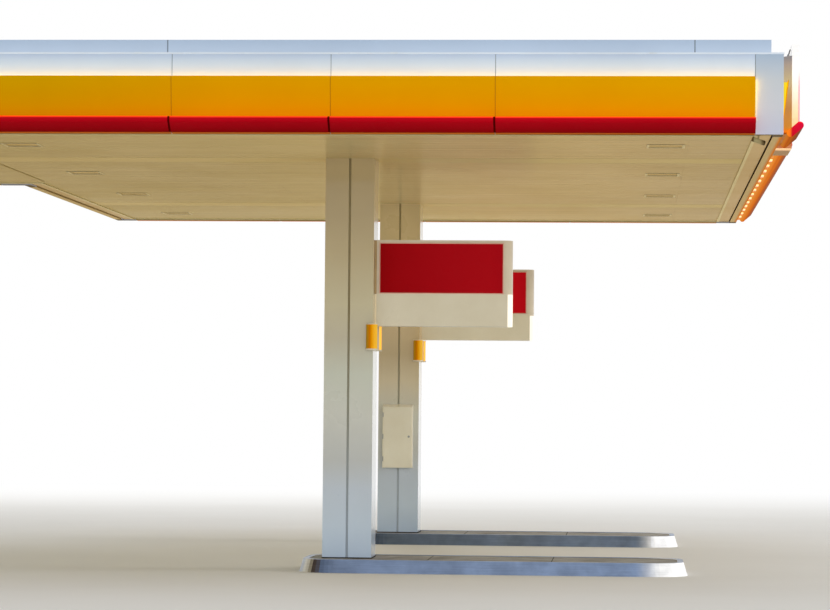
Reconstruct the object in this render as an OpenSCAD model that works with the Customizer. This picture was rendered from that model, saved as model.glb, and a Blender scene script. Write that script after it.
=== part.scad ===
// Filling station canopy: an L-shaped roof on clad columns that rise from kerbed islands.
// Millimetres. X runs to the right along the front, Y runs back, Z is up.
// The origin is the foot of the near column, at ground level.

/* [Plan] */
// Number of roof bays along the front
bay_count = 2; // [2:1:4]
// Length of one roof bay along the front
bay_l = 10030; // [9200:10:12000]
// Distance from the right end of a bay to its column
column_to_end = 5100; // [4800:10:5400]
// Distance from a row of columns to the roof's front or rear edge
edge_reach = 3800; // [3400:50:4300]
// Distance from the front row of columns to the strip's rear edge
strip_back = 4200; // [3600:50:4800]
// Distance between the front and the rear row of columns
row_pitch = 8100; // [7600:50:9500]

/* [Heights] */
// Height of the soffit above the ground
soffit_z = 5040; // [4500:10:6000]
// Distance that the fascia hangs below the soffit
fascia_drop = 15; // [5:1:30]
// Height of the fascia
fascia_h = 885; // [850:5:1100]
// Height of the set-back band above the fascia
upstand_rise = 175; // [60:5:300]

/* [Islands] */
// Height of an island
island_h = 160; // [120:5:220]
// Width of an island across the lanes
island_w = 1600; // [1300:10:1900]
// Length of an island to the left of its column centre
island_left = 570; // [450:10:900]
// Length of an island to the right of its column centre
island_right = 4140; // [3000:10:5000]
// Plan radius of the island corners
island_r = 450; // [200:10:600]
// Slope of the kerb from bottom to top, measured in plan
kerb_batter = 50; // [20:1:70]
// Width of the kerb along its top
kerb_top_w = 70; // [50:1:120]
// Depth of the slab below the top of the kerb
slab_recess = 6; // [2:1:20]

/* [Columns] */
// Width of a clad column
column_w = 600; // [500:10:700]
// Thickness of the column cladding
cladding_t = 20; // [10:1:30]
// Width of the open joint down the middle of a clad column
joint_w = 28; // [10:1:40]
// Thickness of the strip behind the open joint
joint_strip_t = 10; // [4:1:20]
// Lap of that strip behind each half of the cladding
joint_lap = 20; // [10:1:40]
// Width of the steel core
core_w = 300; // [200:10:340]
// Wall of the steel core
core_t = 12; // [8:1:20]
// Width of the base plate
base_w = 460; // [420:10:500]
// Thickness of the base plate
base_t = 25; // [15:1:40]
// Distance between the anchor holes of the base plate
anchor_pitch = 370; // [360:5:380]
// Diameter of the anchor holes
anchor_d = 28; // [18:1:34]
// Number of levels at which the cladding is fixed to the core
tie_levels = 5; // [3:1:8]
// Thickness of a cladding tie
tie_t = 8; // [5:1:15]
// Distance from the end of a column to its first tie
tie_end = 60; // [40:5:150]

/* [Roof frame] */
// Height of the main beams
main_h = 400; // [300:10:450]
// Width of the main beams
main_w = 200; // [150:10:260]
// Flange thickness of the main beams
main_tf = 16; // [10:1:24]
// Web thickness of the main beams
main_tw = 10; // [8:1:16]
// Distance from the roof's end to the end of a main beam
main_end = 330; // [300:10:500]
// Height of the cross beams
cross_h = 240; // [180:10:260]
// Width of the cross beams
cross_w = 120; // [90:5:160]
// Flange thickness of the cross beams
cross_tf = 10; // [8:1:16]
// Web thickness of the cross beams
cross_tw = 7; // [6:1:12]
// Number of cross beam spaces in a bay
cross_spaces = 6; // [6:1:6]
// Width of the edge beam behind the fascia
edge_w = 80; // [60:5:100]
// Width of a ceiling rail
rail_w = 60; // [40:5:70]
// Height of a ceiling rail
rail_h = 60; // [40:5:80]
// Pitch of the deck ribs
rib_pitch = 250; // [200:10:333]
// Height of the deck ribs
rib_h = 40; // [25:1:60]
// Width of the top of a deck rib
rib_top = 100; // [60:5:110]
// Run of each sloping side of a deck rib
rib_slope = 25; // [10:1:40]
// Thickness of the deck
deck_t = 6; // [3:1:10]
// Thickness of the set-back band
upstand_t = 20; // [10:1:30]
// Distance of the set-back band from the face of the fascia
upstand_in = 130; // [125:1:160]
// Length of the set-back band's sheets
upstand_sheet = 5880; // [3000:10:8000]
// Length of the first sheet of the set-back band at a corner
upstand_first = 840; // [500:5:2000]
// Width of the joints between sheets of the set-back band
upstand_joint = 3; // [2:1:6]
// Thickness of the coping on the fascia
coping_t = 20; // [10:1:30]
// Distance that the coping stands out in front of the fascia
coping_lip = 5; // [2:1:15]

/* [Fascia] */
// Depth of the fascia trays from front to back
fascia_d = 105; // [80:1:120]
// Thickness of a fascia tray
tray_t = 20; // [10:1:25]
// Length of a corner panel along each side
corner_l = 310; // [290:5:450]
// Length of the fascia panel next to a corner panel
end_panel = 2860; // [2000:5:3000]
// Length of the second panel from a corner
second_panel = 1830; // [1500:5:2000]
// Length of the third panel from a corner
third_panel = 1780; // [1500:5:2000]
// Longest panel in the middle of a side
long_panel = 3100; // [2500:50:3500]
// Width of the joints between panels
panel_joint = 8; // [3:1:15]
// Width of a fascia post
post_w = 60; // [40:5:80]
// Longest distance between fascia posts
post_pitch = 1600; // [1200:50:2400]

/* [Yellow band] */
// Height of the top of the yellow band above the foot of the fascia
yellow_top = 635; // [600:5:700]
// Height of the yellow band
yellow_h = 500; // [450:5:540]
// Distance of the yellow band's top from the fascia
yellow_out = 75; // [50:1:100]
// Thickness of the yellow sheet
yellow_t = 12; // [4:1:16]
// Longest distance between the ribs behind a yellow sheet
yellow_rib_pitch = 1000; // [600:50:1500]
// Thickness of a rib behind a yellow sheet
yellow_rib_t = 6; // [3:1:12]

/* [Red bar] */
// Thickness of the red bar
red_t = 84; // [60:2:100]
// Distance of the bar's lower centre from the fascia
red_low_out = 95; // [85:1:110]
// Height of the bar's lower centre above the foot of the fascia
red_low_z = 44; // [43:1:60]
// Distance of the bar's upper centre from the fascia
red_high_out = 197; // [170:1:210]
// Height of the bar's upper centre above the foot of the fascia
red_high_z = 132; // [115:1:150]
// Width of the joints between lengths of the bar
bar_joint = 24; // [4:1:40]
// Depth of the shallow recess in each flat side of the bar
red_recess = 1; // [0.5:0.5:3]
// Height of a bracket that carries the bar
red_bracket_h = 30; // [16:1:40]
// Width of a bracket that carries the bar
red_bracket_w = 40; // [20:1:80]
// Pitch of the light modules along the bar
module_pitch = 830; // [500:10:1200]
// Distance of the first light module from the end of a run
module_end = 970; // [700:10:1400]
// Length of a light module
module_l = 160; // [80:5:300]
// Height of a light module
module_h = 20; // [12:1:26]
// Distance that a light module stands out from the fascia
module_out = 44; // [12:1:44]
// Height of the modules' underside above the foot of the fascia
module_z = 12; // [2:1:14]

/* [Soffit] */
// Thickness of the soffit
soffit_t = 25; // [15:1:40]
// Width of the shadow gap between fascia and soffit
shadow_gap = 14; // [8:1:25]
// Width of the plain strip round the soffit
edge_strip_w = 160; // [150:2:190]
// Width of the bead between the plain strip and the panels
bead_w = 38; // [15:1:40]
// Distance that the bead stands down from the soffit
bead_drop = 12; // [5:1:20]
// Distance of the right luminaire row from the right end of a bay
lamp_right_in = 1270; // [700:5:1700]
// Distance of the left luminaire row from the left end of a bay
lamp_left_in = 1225; // [700:5:1700]
// Distance of the luminaires in front of and behind a row of columns
lamp_row_y = 2100; // [1800:10:2400]
// Width of the soffit cut-out for a luminaire
lamp_w = 400; // [380:2:460]
// Width of the luminaire's flange outside the cut-out
lamp_flange = 20; // [10:1:30]
// Thickness of the luminaire's flange
lamp_flange_t = 4; // [2:1:8]
// Height of a luminaire's housing above the soffit's underside
lamp_h = 120; // [90:5:160]
// Wall of a luminaire's housing
lamp_wall = 8; // [4:1:12]
// Recess of the luminaire's glass
lens_in = 8; // [3:1:20]
// Thickness of the luminaire's glass
lens_t = 6; // [4:1:10]

/* [Column signs] */
// Height of the underside of the near and left signs above the ground
sign_z = 2995; // [2600:5:3400]
// Height of the underside of the far sign above the ground
far_sign_z = 3020; // [2600:5:3400]
// Gap between a column and its sign
sign_gap = 24; // [10:1:60]
// Length of the lower part of a sign
sign_l = 1608; // [1300:2:2000]
// Height of the lower part of a sign
sign_low_h = 395; // [300:5:500]
// Thickness of the lower part of a sign
sign_low_t = 270; // [180:5:280]
// Height of the light box
sign_box_h = 660; // [600:5:800]
// Thickness of the light box
sign_box_t = 280; // [200:5:300]
// Distance that the light box's nose stands out past the lower part
sign_nose = 56; // [40:1:120]
// Radius of the light box's nose
sign_nose_r = 110; // [60:5:120]
// Length of the red panel
sign_red_l = 1523; // [1200:1:1530]
// Height of the red panel
sign_red_h = 622; // [560:1:625]
// Thickness of the red panel
sign_red_t = 6; // [3:1:12]
// Distance of the red panel from the column end of the sign
sign_red_x = 34; // [20:1:60]
// Distance of the red panel from the top of the sign
sign_red_top = 34; // [10:1:36]
// Width of a sign bracket
bracket_w = 140; // [80:5:200]
// Height of a sign bracket
bracket_h = 90; // [60:5:140]
// Distance of a sign bracket from the top or the bottom of the sign
bracket_end = 120; // [60:5:200]

/* [Column lamps] */
// Height of the underside of the lamps above the ground
lamp_z = 2694; // [2300:2:2800]
// Height of a column lamp
lamp_body_h = 322; // [240:2:360]
// Radius of a column lamp's cover
cover_r = 70; // [45:1:72]
// Distance that the rims stand out past the cover
rim_out = 4; // [2:1:8]
// Thickness of the lower rim
rim_low_t = 18; // [8:1:30]
// Thickness of the upper rim
rim_high_t = 8; // [4:1:20]
// Thickness of the back plate
plate_t = 8; // [4:1:12]
// Distance of the back plate's sides inside the cover's sides
plate_in = 30; // [0:2:40]
// Distance of the lamp's centre inside the column's right face
lamp_in = 16; // [10:1:60]

/* [Side sign] */
// Distance from the front of the fascia to the side sign
side_sign_from = 1750; // [1000:10:3000]
// Width of the side sign
side_sign_w = 1000; // [800:10:1200]
// Thickness of the backing box behind the side sign
backing_d = 180; // [120:5:200]
// Height that the backing box's front edge rises above the fascia
backing_rise = 190; // [100:5:220]
// Fall of the backing box's top towards the fascia
backing_fall = 25; // [10:1:40]
// Height of the side sign's underside above the foot of the fascia
side_sign_foot = 220; // [200:5:300]
// Height of the side sign
side_sign_h = 1004; // [900:2:1100]
// Thickness of the side sign
side_sign_t = 88; // [40:1:100]
// Corner radius of the side sign
side_sign_r = 150; // [60:5:300]
// Radius of a stay behind the side sign
stay_r = 8; // [6:1:16]
// Distance of a stay's foot behind the side sign
stay_run = 50; // [40:1:110]
// Height of a stay
stay_rise = 124; // [90:1:125]
// Distance of a stay from the side of the sign
stay_in = 250; // [150:5:350]

/* [Small fittings] */
// Distance of the camera from the right end of the roof
camera_in = 265; // [200:5:300]
// Radius of the camera's body
camera_r = 27; // [20:1:30]
// Length of the camera's body
camera_l = 150; // [120:5:180]
// Tilt of the camera's body below the soffit, in degrees
camera_tilt = 20; // [0:1:25]
// Radius of the camera's foot
camera_foot_r = 28; // [20:1:32]
// Height of the camera's foot and stem
camera_stem = 43; // [35:1:60]
// Width of the wall cabinet on the far column
cabinet_w = 440; // [300:5:500]
// Height of the wall cabinet
cabinet_h = 936; // [600:5:1100]
// Depth of the wall cabinet
cabinet_d = 200; // [120:5:280]
// Height of the wall cabinet's underside above the ground
cabinet_z = 1120; // [800:5:1500]
// Thickness of the cabinet's door
cabinet_door_t = 18; // [10:1:30]
// Distance of the door's edge from the cabinet's edge
cabinet_door_in = 14; // [6:1:30]
// Fall of the cabinet's roof towards the door
cabinet_fall = 36; // [10:1:60]

/* [Hidden] */
$fn = 48;
// Clearance between pieces that seat on each other
seat = 0.3;
// Overlap that fuses pieces of one solid
fuse = 1;
// Depth of the strip of roof along the front row of columns
strip_d = edge_reach + strip_back;
// Plan lines of the roof: right, left, left of the rear block, front, rear of the strip, rear
x_right = column_to_end;
x_left = column_to_end - bay_count * bay_l;
x_block = column_to_end - bay_l;
y_front = -edge_reach;
y_strip = strip_back;
y_rear = row_pitch + edge_reach;
// Levels of the fascia and the roof frame
fascia_z = soffit_z - fascia_drop;
fascia_top = fascia_z + fascia_h;
rail_z = soffit_z + soffit_t;
main_z = rail_z + rail_h;
cross_z = main_z + main_h;
deck_z = cross_z + cross_h;
// Insets from the face of the fascia
edge_in = fascia_d;
cross_in = edge_in + edge_w + cross_w / 2 + seat;
strip_in = fascia_d + shadow_gap;
bead_in = strip_in + edge_strip_w;
soffit_in = bead_in + bead_w;
// Columns of the front row, with the near one first
front_row = [for (i = [0:bay_count - 1]) [-i * bay_l, 0]];
left_row = [for (i = [1:bay_count - 1]) [-i * bay_l, 0]];
far_column = [0, row_pitch];
all_columns = concat(front_row, [far_column]);
// Positions of the cross beams and ceiling rails, in one bay, from its right end
cross_pitch = (bay_l - 2 * cross_in) / cross_spaces;
cross_steps = [for (k = [0:cross_spaces]) cross_in + k * cross_pitch];

// A side of the roof: start, heading, length, whether its start and end corners point outwards
front_side = [x_left, y_front, 0, x_right - x_left, true, true];
right_side = [x_right, y_front, 90, y_rear - y_front, true, true];
rear_side = [x_right, y_rear, 180, x_right - x_block, true, true];
block_side = [x_block, y_rear, 270, y_rear - y_strip, true, false];
strip_side = [x_block, y_strip, 180, x_block - x_left, false, true];
left_side = [x_left, y_strip, 270, y_strip - y_front, true, true];
all_sides = [front_side, right_side, rear_side, block_side, strip_side, left_side];
// Sides that carry the yellow band and the red bar: the two sides of the inward corner are plain
band_sides = [front_side, right_side, rear_side, left_side];

// Length of a side
function side_l(s) = s[3];
// Where a run between the insets a and b starts and ends along a side
function run_from(s, a, b) = s[4] ? b + seat : -b;
function run_to(s, a, b) = s[5] ? s[3] - a : s[3] + a - seat;
// Lengths of the panels that fill a length, longer ones in the middle
function even_panels(l) = [for (i = [1:ceil(l / long_panel)]) l / ceil(l / long_panel)];
function side_panels(l) =
    let (rest = l - 2 * (end_panel + second_panel + third_panel))
    rest > third_panel
        ? concat([end_panel, second_panel, third_panel], even_panels(rest), [third_panel, second_panel, end_panel])
        : even_panels(l);
// Sum of the first n entries of a list
function sum_to(list, n) = n == 0 ? 0 : list[n - 1] + sum_to(list, n - 1);
// Stretches of a side that carry the yellow band and the red bar: the side sign interrupts one
function band_runs(s) = s == right_side
    ? [[corner_l, side_sign_from - panel_joint],
       [side_sign_from + side_sign_w + panel_joint, side_l(s) - corner_l]]
    : [[corner_l, side_l(s) - corner_l]];
// Lengths of the sheets and bars that fill such a stretch
function band_panels(s, run) =
    s == right_side ? even_panels(run[1] - run[0]) : side_panels(run[1] - run[0]);

// Places children at the start of a side: X along it, Y inwards
module on_side(s) {
    translate([s[0], s[1], 0]) rotate(s[2]) children();
}

// Extrudes a profile of inset and height along X
module extrude_x(l) {
    rotate([90, 0, 90]) linear_extrude(l) children();
}

// A plain run along a side between two insets and two levels
module side_run(s, a, b, z0, z1) {
    u0 = run_from(s, a, b);
    on_side(s) translate([u0, a, z0]) cube([run_to(s, a, b) - u0, b - a, z1 - z0]);
}

// Places children at the start of each panel of a stretch, with the panel's length in $panel
module each_panel(from, panels) {
    for (i = [0:len(panels) - 1]) {
        $panel = panels[i] - panel_joint;
        translate([from + sum_to(panels, i) + panel_joint / 2, 0, 0]) children();
    }
}

// Rounded rectangle in plan, from a corner
module rounded_box(l, w, h, r) {
    linear_extrude(h) {
        translate([r, 0]) square([l - 2 * r, w]);
        translate([0, r]) square([l, w - 2 * r]);
        for (x = [r, l - r], y = [r, w - r]) translate([x, y]) circle(r);
    }
}

// I-section of a beam, centred across and standing on zero
module i_section(h, w, tf, tw) {
    translate([-w / 2, 0]) square([w, tf]);
    translate([-w / 2, h - tf]) square([w, tf]);
    translate([-tw / 2, tf - fuse]) square([tw, h - 2 * tf + 2 * fuse]);
}

// Square plate centred on a column
module square_plate(w, d, t) {
    translate([-w / 2, -d / 2, 0]) cube([w, d, t]);
}

// Islands

island_l = island_left + island_right;

module island_body() {
    hull() {
        rounded_box(island_l, island_w, fuse, island_r);
        translate([kerb_batter, kerb_batter, island_h - fuse])
            rounded_box(island_l - 2 * kerb_batter, island_w - 2 * kerb_batter, fuse, island_r - kerb_batter);
    }
}

module island_core(clearance) {
    inset = kerb_batter + kerb_top_w + clearance;
    translate([inset, inset, -fuse])
        rounded_box(island_l - 2 * inset, island_w - 2 * inset, island_h + 2 * fuse, island_r - inset);
}

module island_kerbs() {
    color("lightsteelblue") for (c = all_columns) translate([c[0] - island_left, c[1] - island_w / 2, 0])
        difference() {
            island_body();
            island_core(0);
        }
}

module island_slabs() {
    color("darkgray") for (c = all_columns) difference() {
        translate([c[0] - island_left, c[1] - island_w / 2, 0]) intersection() {
            island_core(seat);
            cube([island_l, island_w, island_h - slab_recess]);
        }
        translate([c[0], c[1], -fuse]) square_plate(base_w + 2 * seat, base_w + 2 * seat, island_h + 2 * fuse);
    }
}

// Columns

// Levels of the cladding ties, one list for every column
tie_from = island_h + tie_end;
tie_to = soffit_z - tie_end - tie_t;
tie_step = (tie_to - tie_from) / (tie_levels - 1);

module column_frame() {
    difference() {
        union() {
            square_plate(base_w, base_w, base_t);
            square_plate(core_w, core_w, main_z);
            for (i = [0:tie_levels - 1]) translate([0, 0, tie_from + i * tie_step])
                square_plate(
                    column_w - 2 * cladding_t - 2 * seat,
                    column_w - 2 * cladding_t - 2 * joint_strip_t - 2 * seat,
                    tie_t
                );
        }
        translate([0, 0, base_t]) square_plate(core_w - 2 * core_t, core_w - 2 * core_t, main_z);
        for (x = [-1, 1], y = [-1, 1]) translate([x * anchor_pitch / 2, y * anchor_pitch / 2, -fuse])
            cylinder(d = anchor_d, h = base_t + 2 * fuse);
    }
}

module column_frames() {
    color("slategray") for (c = all_columns) translate(c) column_frame();
}

// One half of a column's cladding, open towards the core
module cladding_half() {
    half = column_w / 2;
    translate([0, 0, island_h]) linear_extrude(soffit_z - island_h) difference() {
        translate([joint_w / 2, -half]) square([half - joint_w / 2, column_w]);
        translate([-fuse, -half + cladding_t]) square([half - cladding_t + fuse, column_w - 2 * cladding_t]);
    }
}

module cladding(columns) {
    color("gainsboro") for (c = columns) translate(c) {
        cladding_half();
        mirror([1, 0, 0]) cladding_half();
    }
}

module column_joint_strips() {
    strip_w = joint_w + 2 * joint_lap;
    strip_y = column_w / 2 - cladding_t - joint_strip_t - seat / 2;
    color("dimgray") for (c = all_columns, side = [-1, 1])
        translate([c[0], c[1], island_h]) scale([1, side, 1])
            translate([-strip_w / 2, strip_y, 0]) cube([strip_w, joint_strip_t, soffit_z - island_h]);
}

// Cabinet on the front of the far column, with a sloping roof and a raised door
module wall_cabinet() {
    d = cabinet_d - cabinet_door_t;
    front_h = cabinet_h - cabinet_fall;
    color("beige")
        translate([far_column[0] - cabinet_w / 2, far_column[1] - column_w / 2 - seat, cabinet_z]) {
            extrude_x(cabinet_w) polygon([[0, 0], [0, cabinet_h], [-d, front_h], [-d, 0]]);
            translate([cabinet_door_in, -cabinet_d, cabinet_door_in])
                cube([cabinet_w - 2 * cabinet_door_in, cabinet_door_t + fuse, front_h - 2 * cabinet_door_in]);
        }
}

// Roof frame

module main_beams() {
    color("slategray") {
        translate([x_left + main_end, 0, main_z]) extrude_x(x_right - x_left - 2 * main_end)
            i_section(main_h, main_w, main_tf, main_tw);
        translate([x_block + main_end, row_pitch, main_z]) extrude_x(x_right - x_block - 2 * main_end)
            i_section(main_h, main_w, main_tf, main_tw);
    }
}

// Places children on the line of each cross beam, with the roof's depth there in $depth
module each_cross_line() {
    for (i = [0:bay_count - 1], u = cross_steps) {
        $depth = i == 0 ? y_rear - y_front : strip_d;
        translate([x_right - i * bay_l - u, y_front, 0]) children();
    }
}

module cross_beams() {
    end = edge_in + edge_w + seat;
    color("slategray") each_cross_line()
        translate([0, end, cross_z]) rotate([90, 0, 180]) linear_extrude($depth - 2 * end)
            i_section(cross_h, cross_w, cross_tf, cross_tw);
}

module edge_beams() {
    color("slategray") for (s = all_sides) side_run(s, edge_in, edge_in + edge_w, cross_z, deck_z);
}

module ceiling_rails() {
    color("silver") each_cross_line() translate([-rail_w / 2, strip_in, rail_z])
        cube([rail_w, $depth - 2 * strip_in, rail_h]);
}

// Ribs of a deck over a depth, as points of inset and height
function rib_line(n, lift) = [
    for (i = [0:n - 1], p = [
        [0, 0], [rib_pitch / 2 - rib_top / 2 - rib_slope, 0],
        [rib_pitch / 2 - rib_top / 2, rib_h], [rib_pitch / 2 + rib_top / 2, rib_h],
        [rib_pitch / 2 + rib_top / 2 + rib_slope, 0],
    ]) [i * rib_pitch + p[0], p[1] + lift],
    [n * rib_pitch, lift]
];

module deck_field(l, d) {
    ribs = floor(d / rib_pitch);
    side = (d - ribs * rib_pitch) / 2;
    upper = concat([[-side, deck_t]], rib_line(ribs, deck_t), [[ribs * rib_pitch + side, deck_t]]);
    lower = concat([[-side, 0]], rib_line(ribs, 0), [[ribs * rib_pitch + side, 0]]);
    points = concat(upper, [for (i = [len(lower) - 1:-1:0]) lower[i]]);
    translate([0, side, 0]) extrude_x(l) polygon(points);
}

module roof_deck() {
    inset = upstand_in + upstand_t + seat;
    color("lightgray") {
        translate([x_left + inset, y_front + inset, deck_z])
            deck_field(x_right - x_left - 2 * inset, strip_d - 2 * inset);
        translate([x_block + inset, y_strip - inset + seat, deck_z])
            deck_field(x_right - x_block - 2 * inset, y_rear - y_strip - seat);
    }
}

// Starts of the sheets of a run of the set-back band
function sheet_starts(l) = concat([0], [for (u = [upstand_first:upstand_sheet:l - upstand_first / 2]) u]);

module roof_upstand() {
    a = upstand_in;
    b = upstand_in + upstand_t;
    color("aliceblue") for (s = all_sides) {
        u0 = run_from(s, a, b);
        u1 = run_to(s, a, b);
        starts = sheet_starts(u1 - u0);
        on_side(s) for (i = [0:len(starts) - 1]) {
            from = starts[i] + (i == 0 ? 0 : upstand_joint);
            to = i == len(starts) - 1 ? u1 - u0 : starts[i + 1];
            translate([u1 - to, a, deck_z]) cube([to - from, upstand_t, fascia_top + upstand_rise - deck_z]);
        }
    }
}

module fascia_coping() {
    color("white") for (s = all_sides)
        side_run(s, -coping_lip, upstand_in - seat, fascia_top, fascia_top + coping_t);
}

// Fascia

// Places children at each fascia post, in the middle of the post
module each_post(s) {
    first = corner_l / 2;
    spaces = ceil((side_l(s) - 2 * first) / post_pitch);
    step = (side_l(s) - 2 * first) / spaces;
    on_side(s) for (i = [0:spaces]) translate([first + i * step, 0, 0]) children();
}

module fascia_posts() {
    color("silver") for (s = all_sides) each_post(s)
        translate([-post_w / 2, tray_t + seat, fascia_z + tray_t])
            cube([post_w, fascia_d - tray_t - 2 * seat, fascia_h - 2 * tray_t]);
}

// Channel of a fascia tray, open towards the roof
module tray_profile() {
    polygon([
        [0, fascia_z], [fascia_d, fascia_z], [fascia_d, fascia_z + tray_t], [tray_t, fascia_z + tray_t],
        [tray_t, fascia_top - tray_t], [fascia_d, fascia_top - tray_t], [fascia_d, fascia_top], [0, fascia_top],
    ]);
}

module fascia(sides) {
    color("ghostwhite") for (s = sides)
        on_side(s) each_panel(corner_l, side_panels(side_l(s) - 2 * corner_l))
            extrude_x($panel) tray_profile();
}

// One leg of a corner panel, past the corner by a lap where the corner points inwards
module corner_leg(from, to) {
    translate([from, 0, 0]) extrude_x(to - from) tray_profile();
}

module corner_panels() {
    color("ghostwhite") for (i = [0:len(all_sides) - 1]) {
        before = all_sides[i];
        after = all_sides[(i + 1) % len(all_sides)];
        lap = before[5] ? 0 : fascia_d;
        on_side(before) corner_leg(side_l(before) - corner_l + panel_joint / 2, side_l(before) + lap);
        on_side(after) corner_leg(0, corner_l - panel_joint / 2);
    }
}

// Sheet of the yellow band, leaning out towards its top
module yellow_profile() {
    z1 = fascia_z + yellow_top;
    z0 = z1 - yellow_h;
    polygon([[0, z0], [-yellow_t, z0], [-yellow_out, z1], [yellow_t - yellow_out, z1]]);
}

// Rib that holds the sheet off the fascia
module yellow_rib_profile() {
    z1 = fascia_z + yellow_top - yellow_h / 6;
    z0 = fascia_z + yellow_top - yellow_h;
    lean = (yellow_out - yellow_t) * 5 / 6 + yellow_t / 2;
    polygon([[0, z0], [-yellow_t / 2, z0], [-lean, z1], [0, z1]]);
}

module yellow_band(sides) {
    color("orange") for (s = sides, run = band_runs(s)) {
        on_side(s) each_panel(run[0], band_panels(s, run)) {
            extrude_x($panel) yellow_profile();
            ribs = ceil($panel / yellow_rib_pitch);
            for (i = [0:ribs]) translate([i * ($panel - yellow_rib_t) / ribs, 0, 0])
                extrude_x(yellow_rib_t) yellow_rib_profile();
        }
    }
}

// Section of the red bar, a thick blade with round edges that leans out, grown by a clearance
module red_profile(clearance) {
    run = [red_low_out - red_high_out, red_high_z - red_low_z];
    r = red_t / 2 + clearance;
    translate([-red_low_out, fascia_z + red_low_z]) rotate(atan2(run[1], run[0])) {
        circle(r);
        translate([norm(run), 0]) circle(r);
        translate([0, red_recess - r]) square([norm(run), 2 * (r - red_recess)]);
    }
}

// Places children at each length of the bar: its two ends are flush with the ends of the run
module each_bar(s, run) {
    panels = band_panels(s, run);
    last = len(panels) - 1;
    for (i = [0:last]) {
        before = i == 0 ? 0 : bar_joint / 2;
        $panel = panels[i] - before - (i == last ? 0 : bar_joint / 2);
        translate([run[0] + sum_to(panels, i) + before, 0, 0]) children();
    }
}

module red_bar(sides) {
    color("crimson") for (s = sides, run = band_runs(s))
        on_side(s) each_bar(s, run) extrude_x($panel) red_profile(0);
}

// Two brackets for each length of the red bar, a little in from its ends
module red_bar_brackets() {
    z = fascia_z + red_low_z;
    color("silver") for (s = band_sides, run = band_runs(s)) {
        on_side(s) each_bar(s, run)
            for (u = [$panel / 5, $panel * 4 / 5]) difference() {
                translate([u - red_bracket_w / 2, -red_low_out, z])
                    cube([red_bracket_w, red_low_out, red_bracket_h]);
                translate([u - red_bracket_w, 0, 0]) extrude_x(2 * red_bracket_w) red_profile(seat);
            }
    }
}

module light_modules() {
    color("gold") for (s = band_sides, run = band_runs(s)) {
        l = run[1] - run[0] - 2 * module_end;
        spaces = round(l / module_pitch);
        if (l > module_pitch) on_side(s) for (i = [0:spaces])
            translate([run[0] + module_end + i * l / spaces - module_l / 2, -module_out, fascia_z + module_z])
                cube([module_l, module_out, module_h]);
    }
}

// Soffit

// Centres of the luminaires near one column
function lamps_at(c) =
    let (bay_end = c[0] + column_to_end)
    [for (x = [bay_end - bay_l + lamp_left_in, bay_end - lamp_right_in], y = [-lamp_row_y, lamp_row_y])
        [x, c[1] + y]];

// Cut-outs for the luminaires and the steel cores of some columns
module soffit_cuts(columns) {
    core_hole = core_w + 2 * seat;
    for (c = columns) {
        for (p = lamps_at(c)) translate([p[0], p[1], soffit_z - fuse]) square_plate(lamp_w, lamp_w, soffit_t + 2 * fuse);
        translate([c[0], c[1], soffit_z - fuse]) square_plate(core_hole, core_hole, soffit_t + 2 * fuse);
    }
}

module strip_soffit() {
    color("tan") difference() {
        translate([x_left + soffit_in, y_front + soffit_in, soffit_z])
            cube([x_right - x_left - 2 * soffit_in, strip_d - 2 * soffit_in, soffit_t]);
        soffit_cuts(front_row);
    }
}

module block_soffit() {
    color("tan") difference() {
        translate([x_block + soffit_in, y_strip - soffit_in + seat, soffit_z])
            cube([x_right - x_block - 2 * soffit_in, y_rear - y_strip - seat, soffit_t]);
        soffit_cuts([far_column]);
    }
}

module soffit_edge_strips() {
    color("wheat") for (s = all_sides) side_run(s, strip_in, bead_in - seat, soffit_z, rail_z);
}

module soffit_beads() {
    color("beige") for (s = all_sides) side_run(s, bead_in, soffit_in - seat, soffit_z - bead_drop, rail_z);
}

module luminaire_housing() {
    outer = lamp_w - 2 * seat;
    difference() {
        union() {
            translate([0, 0, soffit_z - lamp_flange_t])
                square_plate(lamp_w + 2 * lamp_flange, lamp_w + 2 * lamp_flange, lamp_flange_t);
            translate([0, 0, soffit_z - fuse]) square_plate(outer, outer, lamp_h + fuse);
        }
        translate([0, 0, soffit_z - lamp_flange_t - fuse])
            square_plate(outer - 2 * lamp_wall, outer - 2 * lamp_wall, lamp_h + lamp_flange_t + fuse - lamp_wall);
    }
}

module luminaire_housings() {
    color("silver") for (c = all_columns, p = lamps_at(c)) translate([p[0], p[1], 0]) luminaire_housing();
}

module luminaire_lenses() {
    w = lamp_w - 2 * lamp_wall - 4 * seat;
    color("lightcyan") for (c = all_columns, p = lamps_at(c))
        translate([p[0], p[1], soffit_z - lamp_flange_t + lens_in]) square_plate(w, w, lens_t);
}

// Column signs

// Places children at the lower corner of each sign, next to its column
module each_sign() {
    for (c = front_row) translate([c[0] + column_w / 2 + sign_gap, c[1], sign_z]) children();
    translate([far_column[0] + column_w / 2 + sign_gap, far_column[1], far_sign_z]) children();
}

// Solid of a light box's plan, with its rounded nose
module nose_plan(h) {
    l = sign_l + sign_nose;
    half = sign_box_t / 2;
    r = sign_nose_r;
    linear_extrude(h) {
        translate([0, -half]) square([l - r, sign_box_t]);
        translate([0, r - half]) square([l, sign_box_t - 2 * r]);
        for (y = [r - half, half - r]) translate([l - r, y]) circle(r);
    }
}

// Light boxes, whose nose runs on down to the foot of the sign
module sign_light_boxes() {
    color("ivory") each_sign() {
        translate([0, 0, sign_low_h + seat]) nose_plan(sign_box_h);
        intersection() {
            nose_plan(sign_low_h + 2 * seat);
            translate([sign_l + seat, -sign_box_t, -fuse])
                cube([2 * sign_nose, 2 * sign_box_t, sign_low_h + 4 * fuse]);
        }
    }
}

module sign_lower_panels() {
    color("ivory") each_sign() translate([0, -sign_low_t / 2, 0]) cube([sign_l, sign_low_t, sign_low_h]);
}

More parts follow.
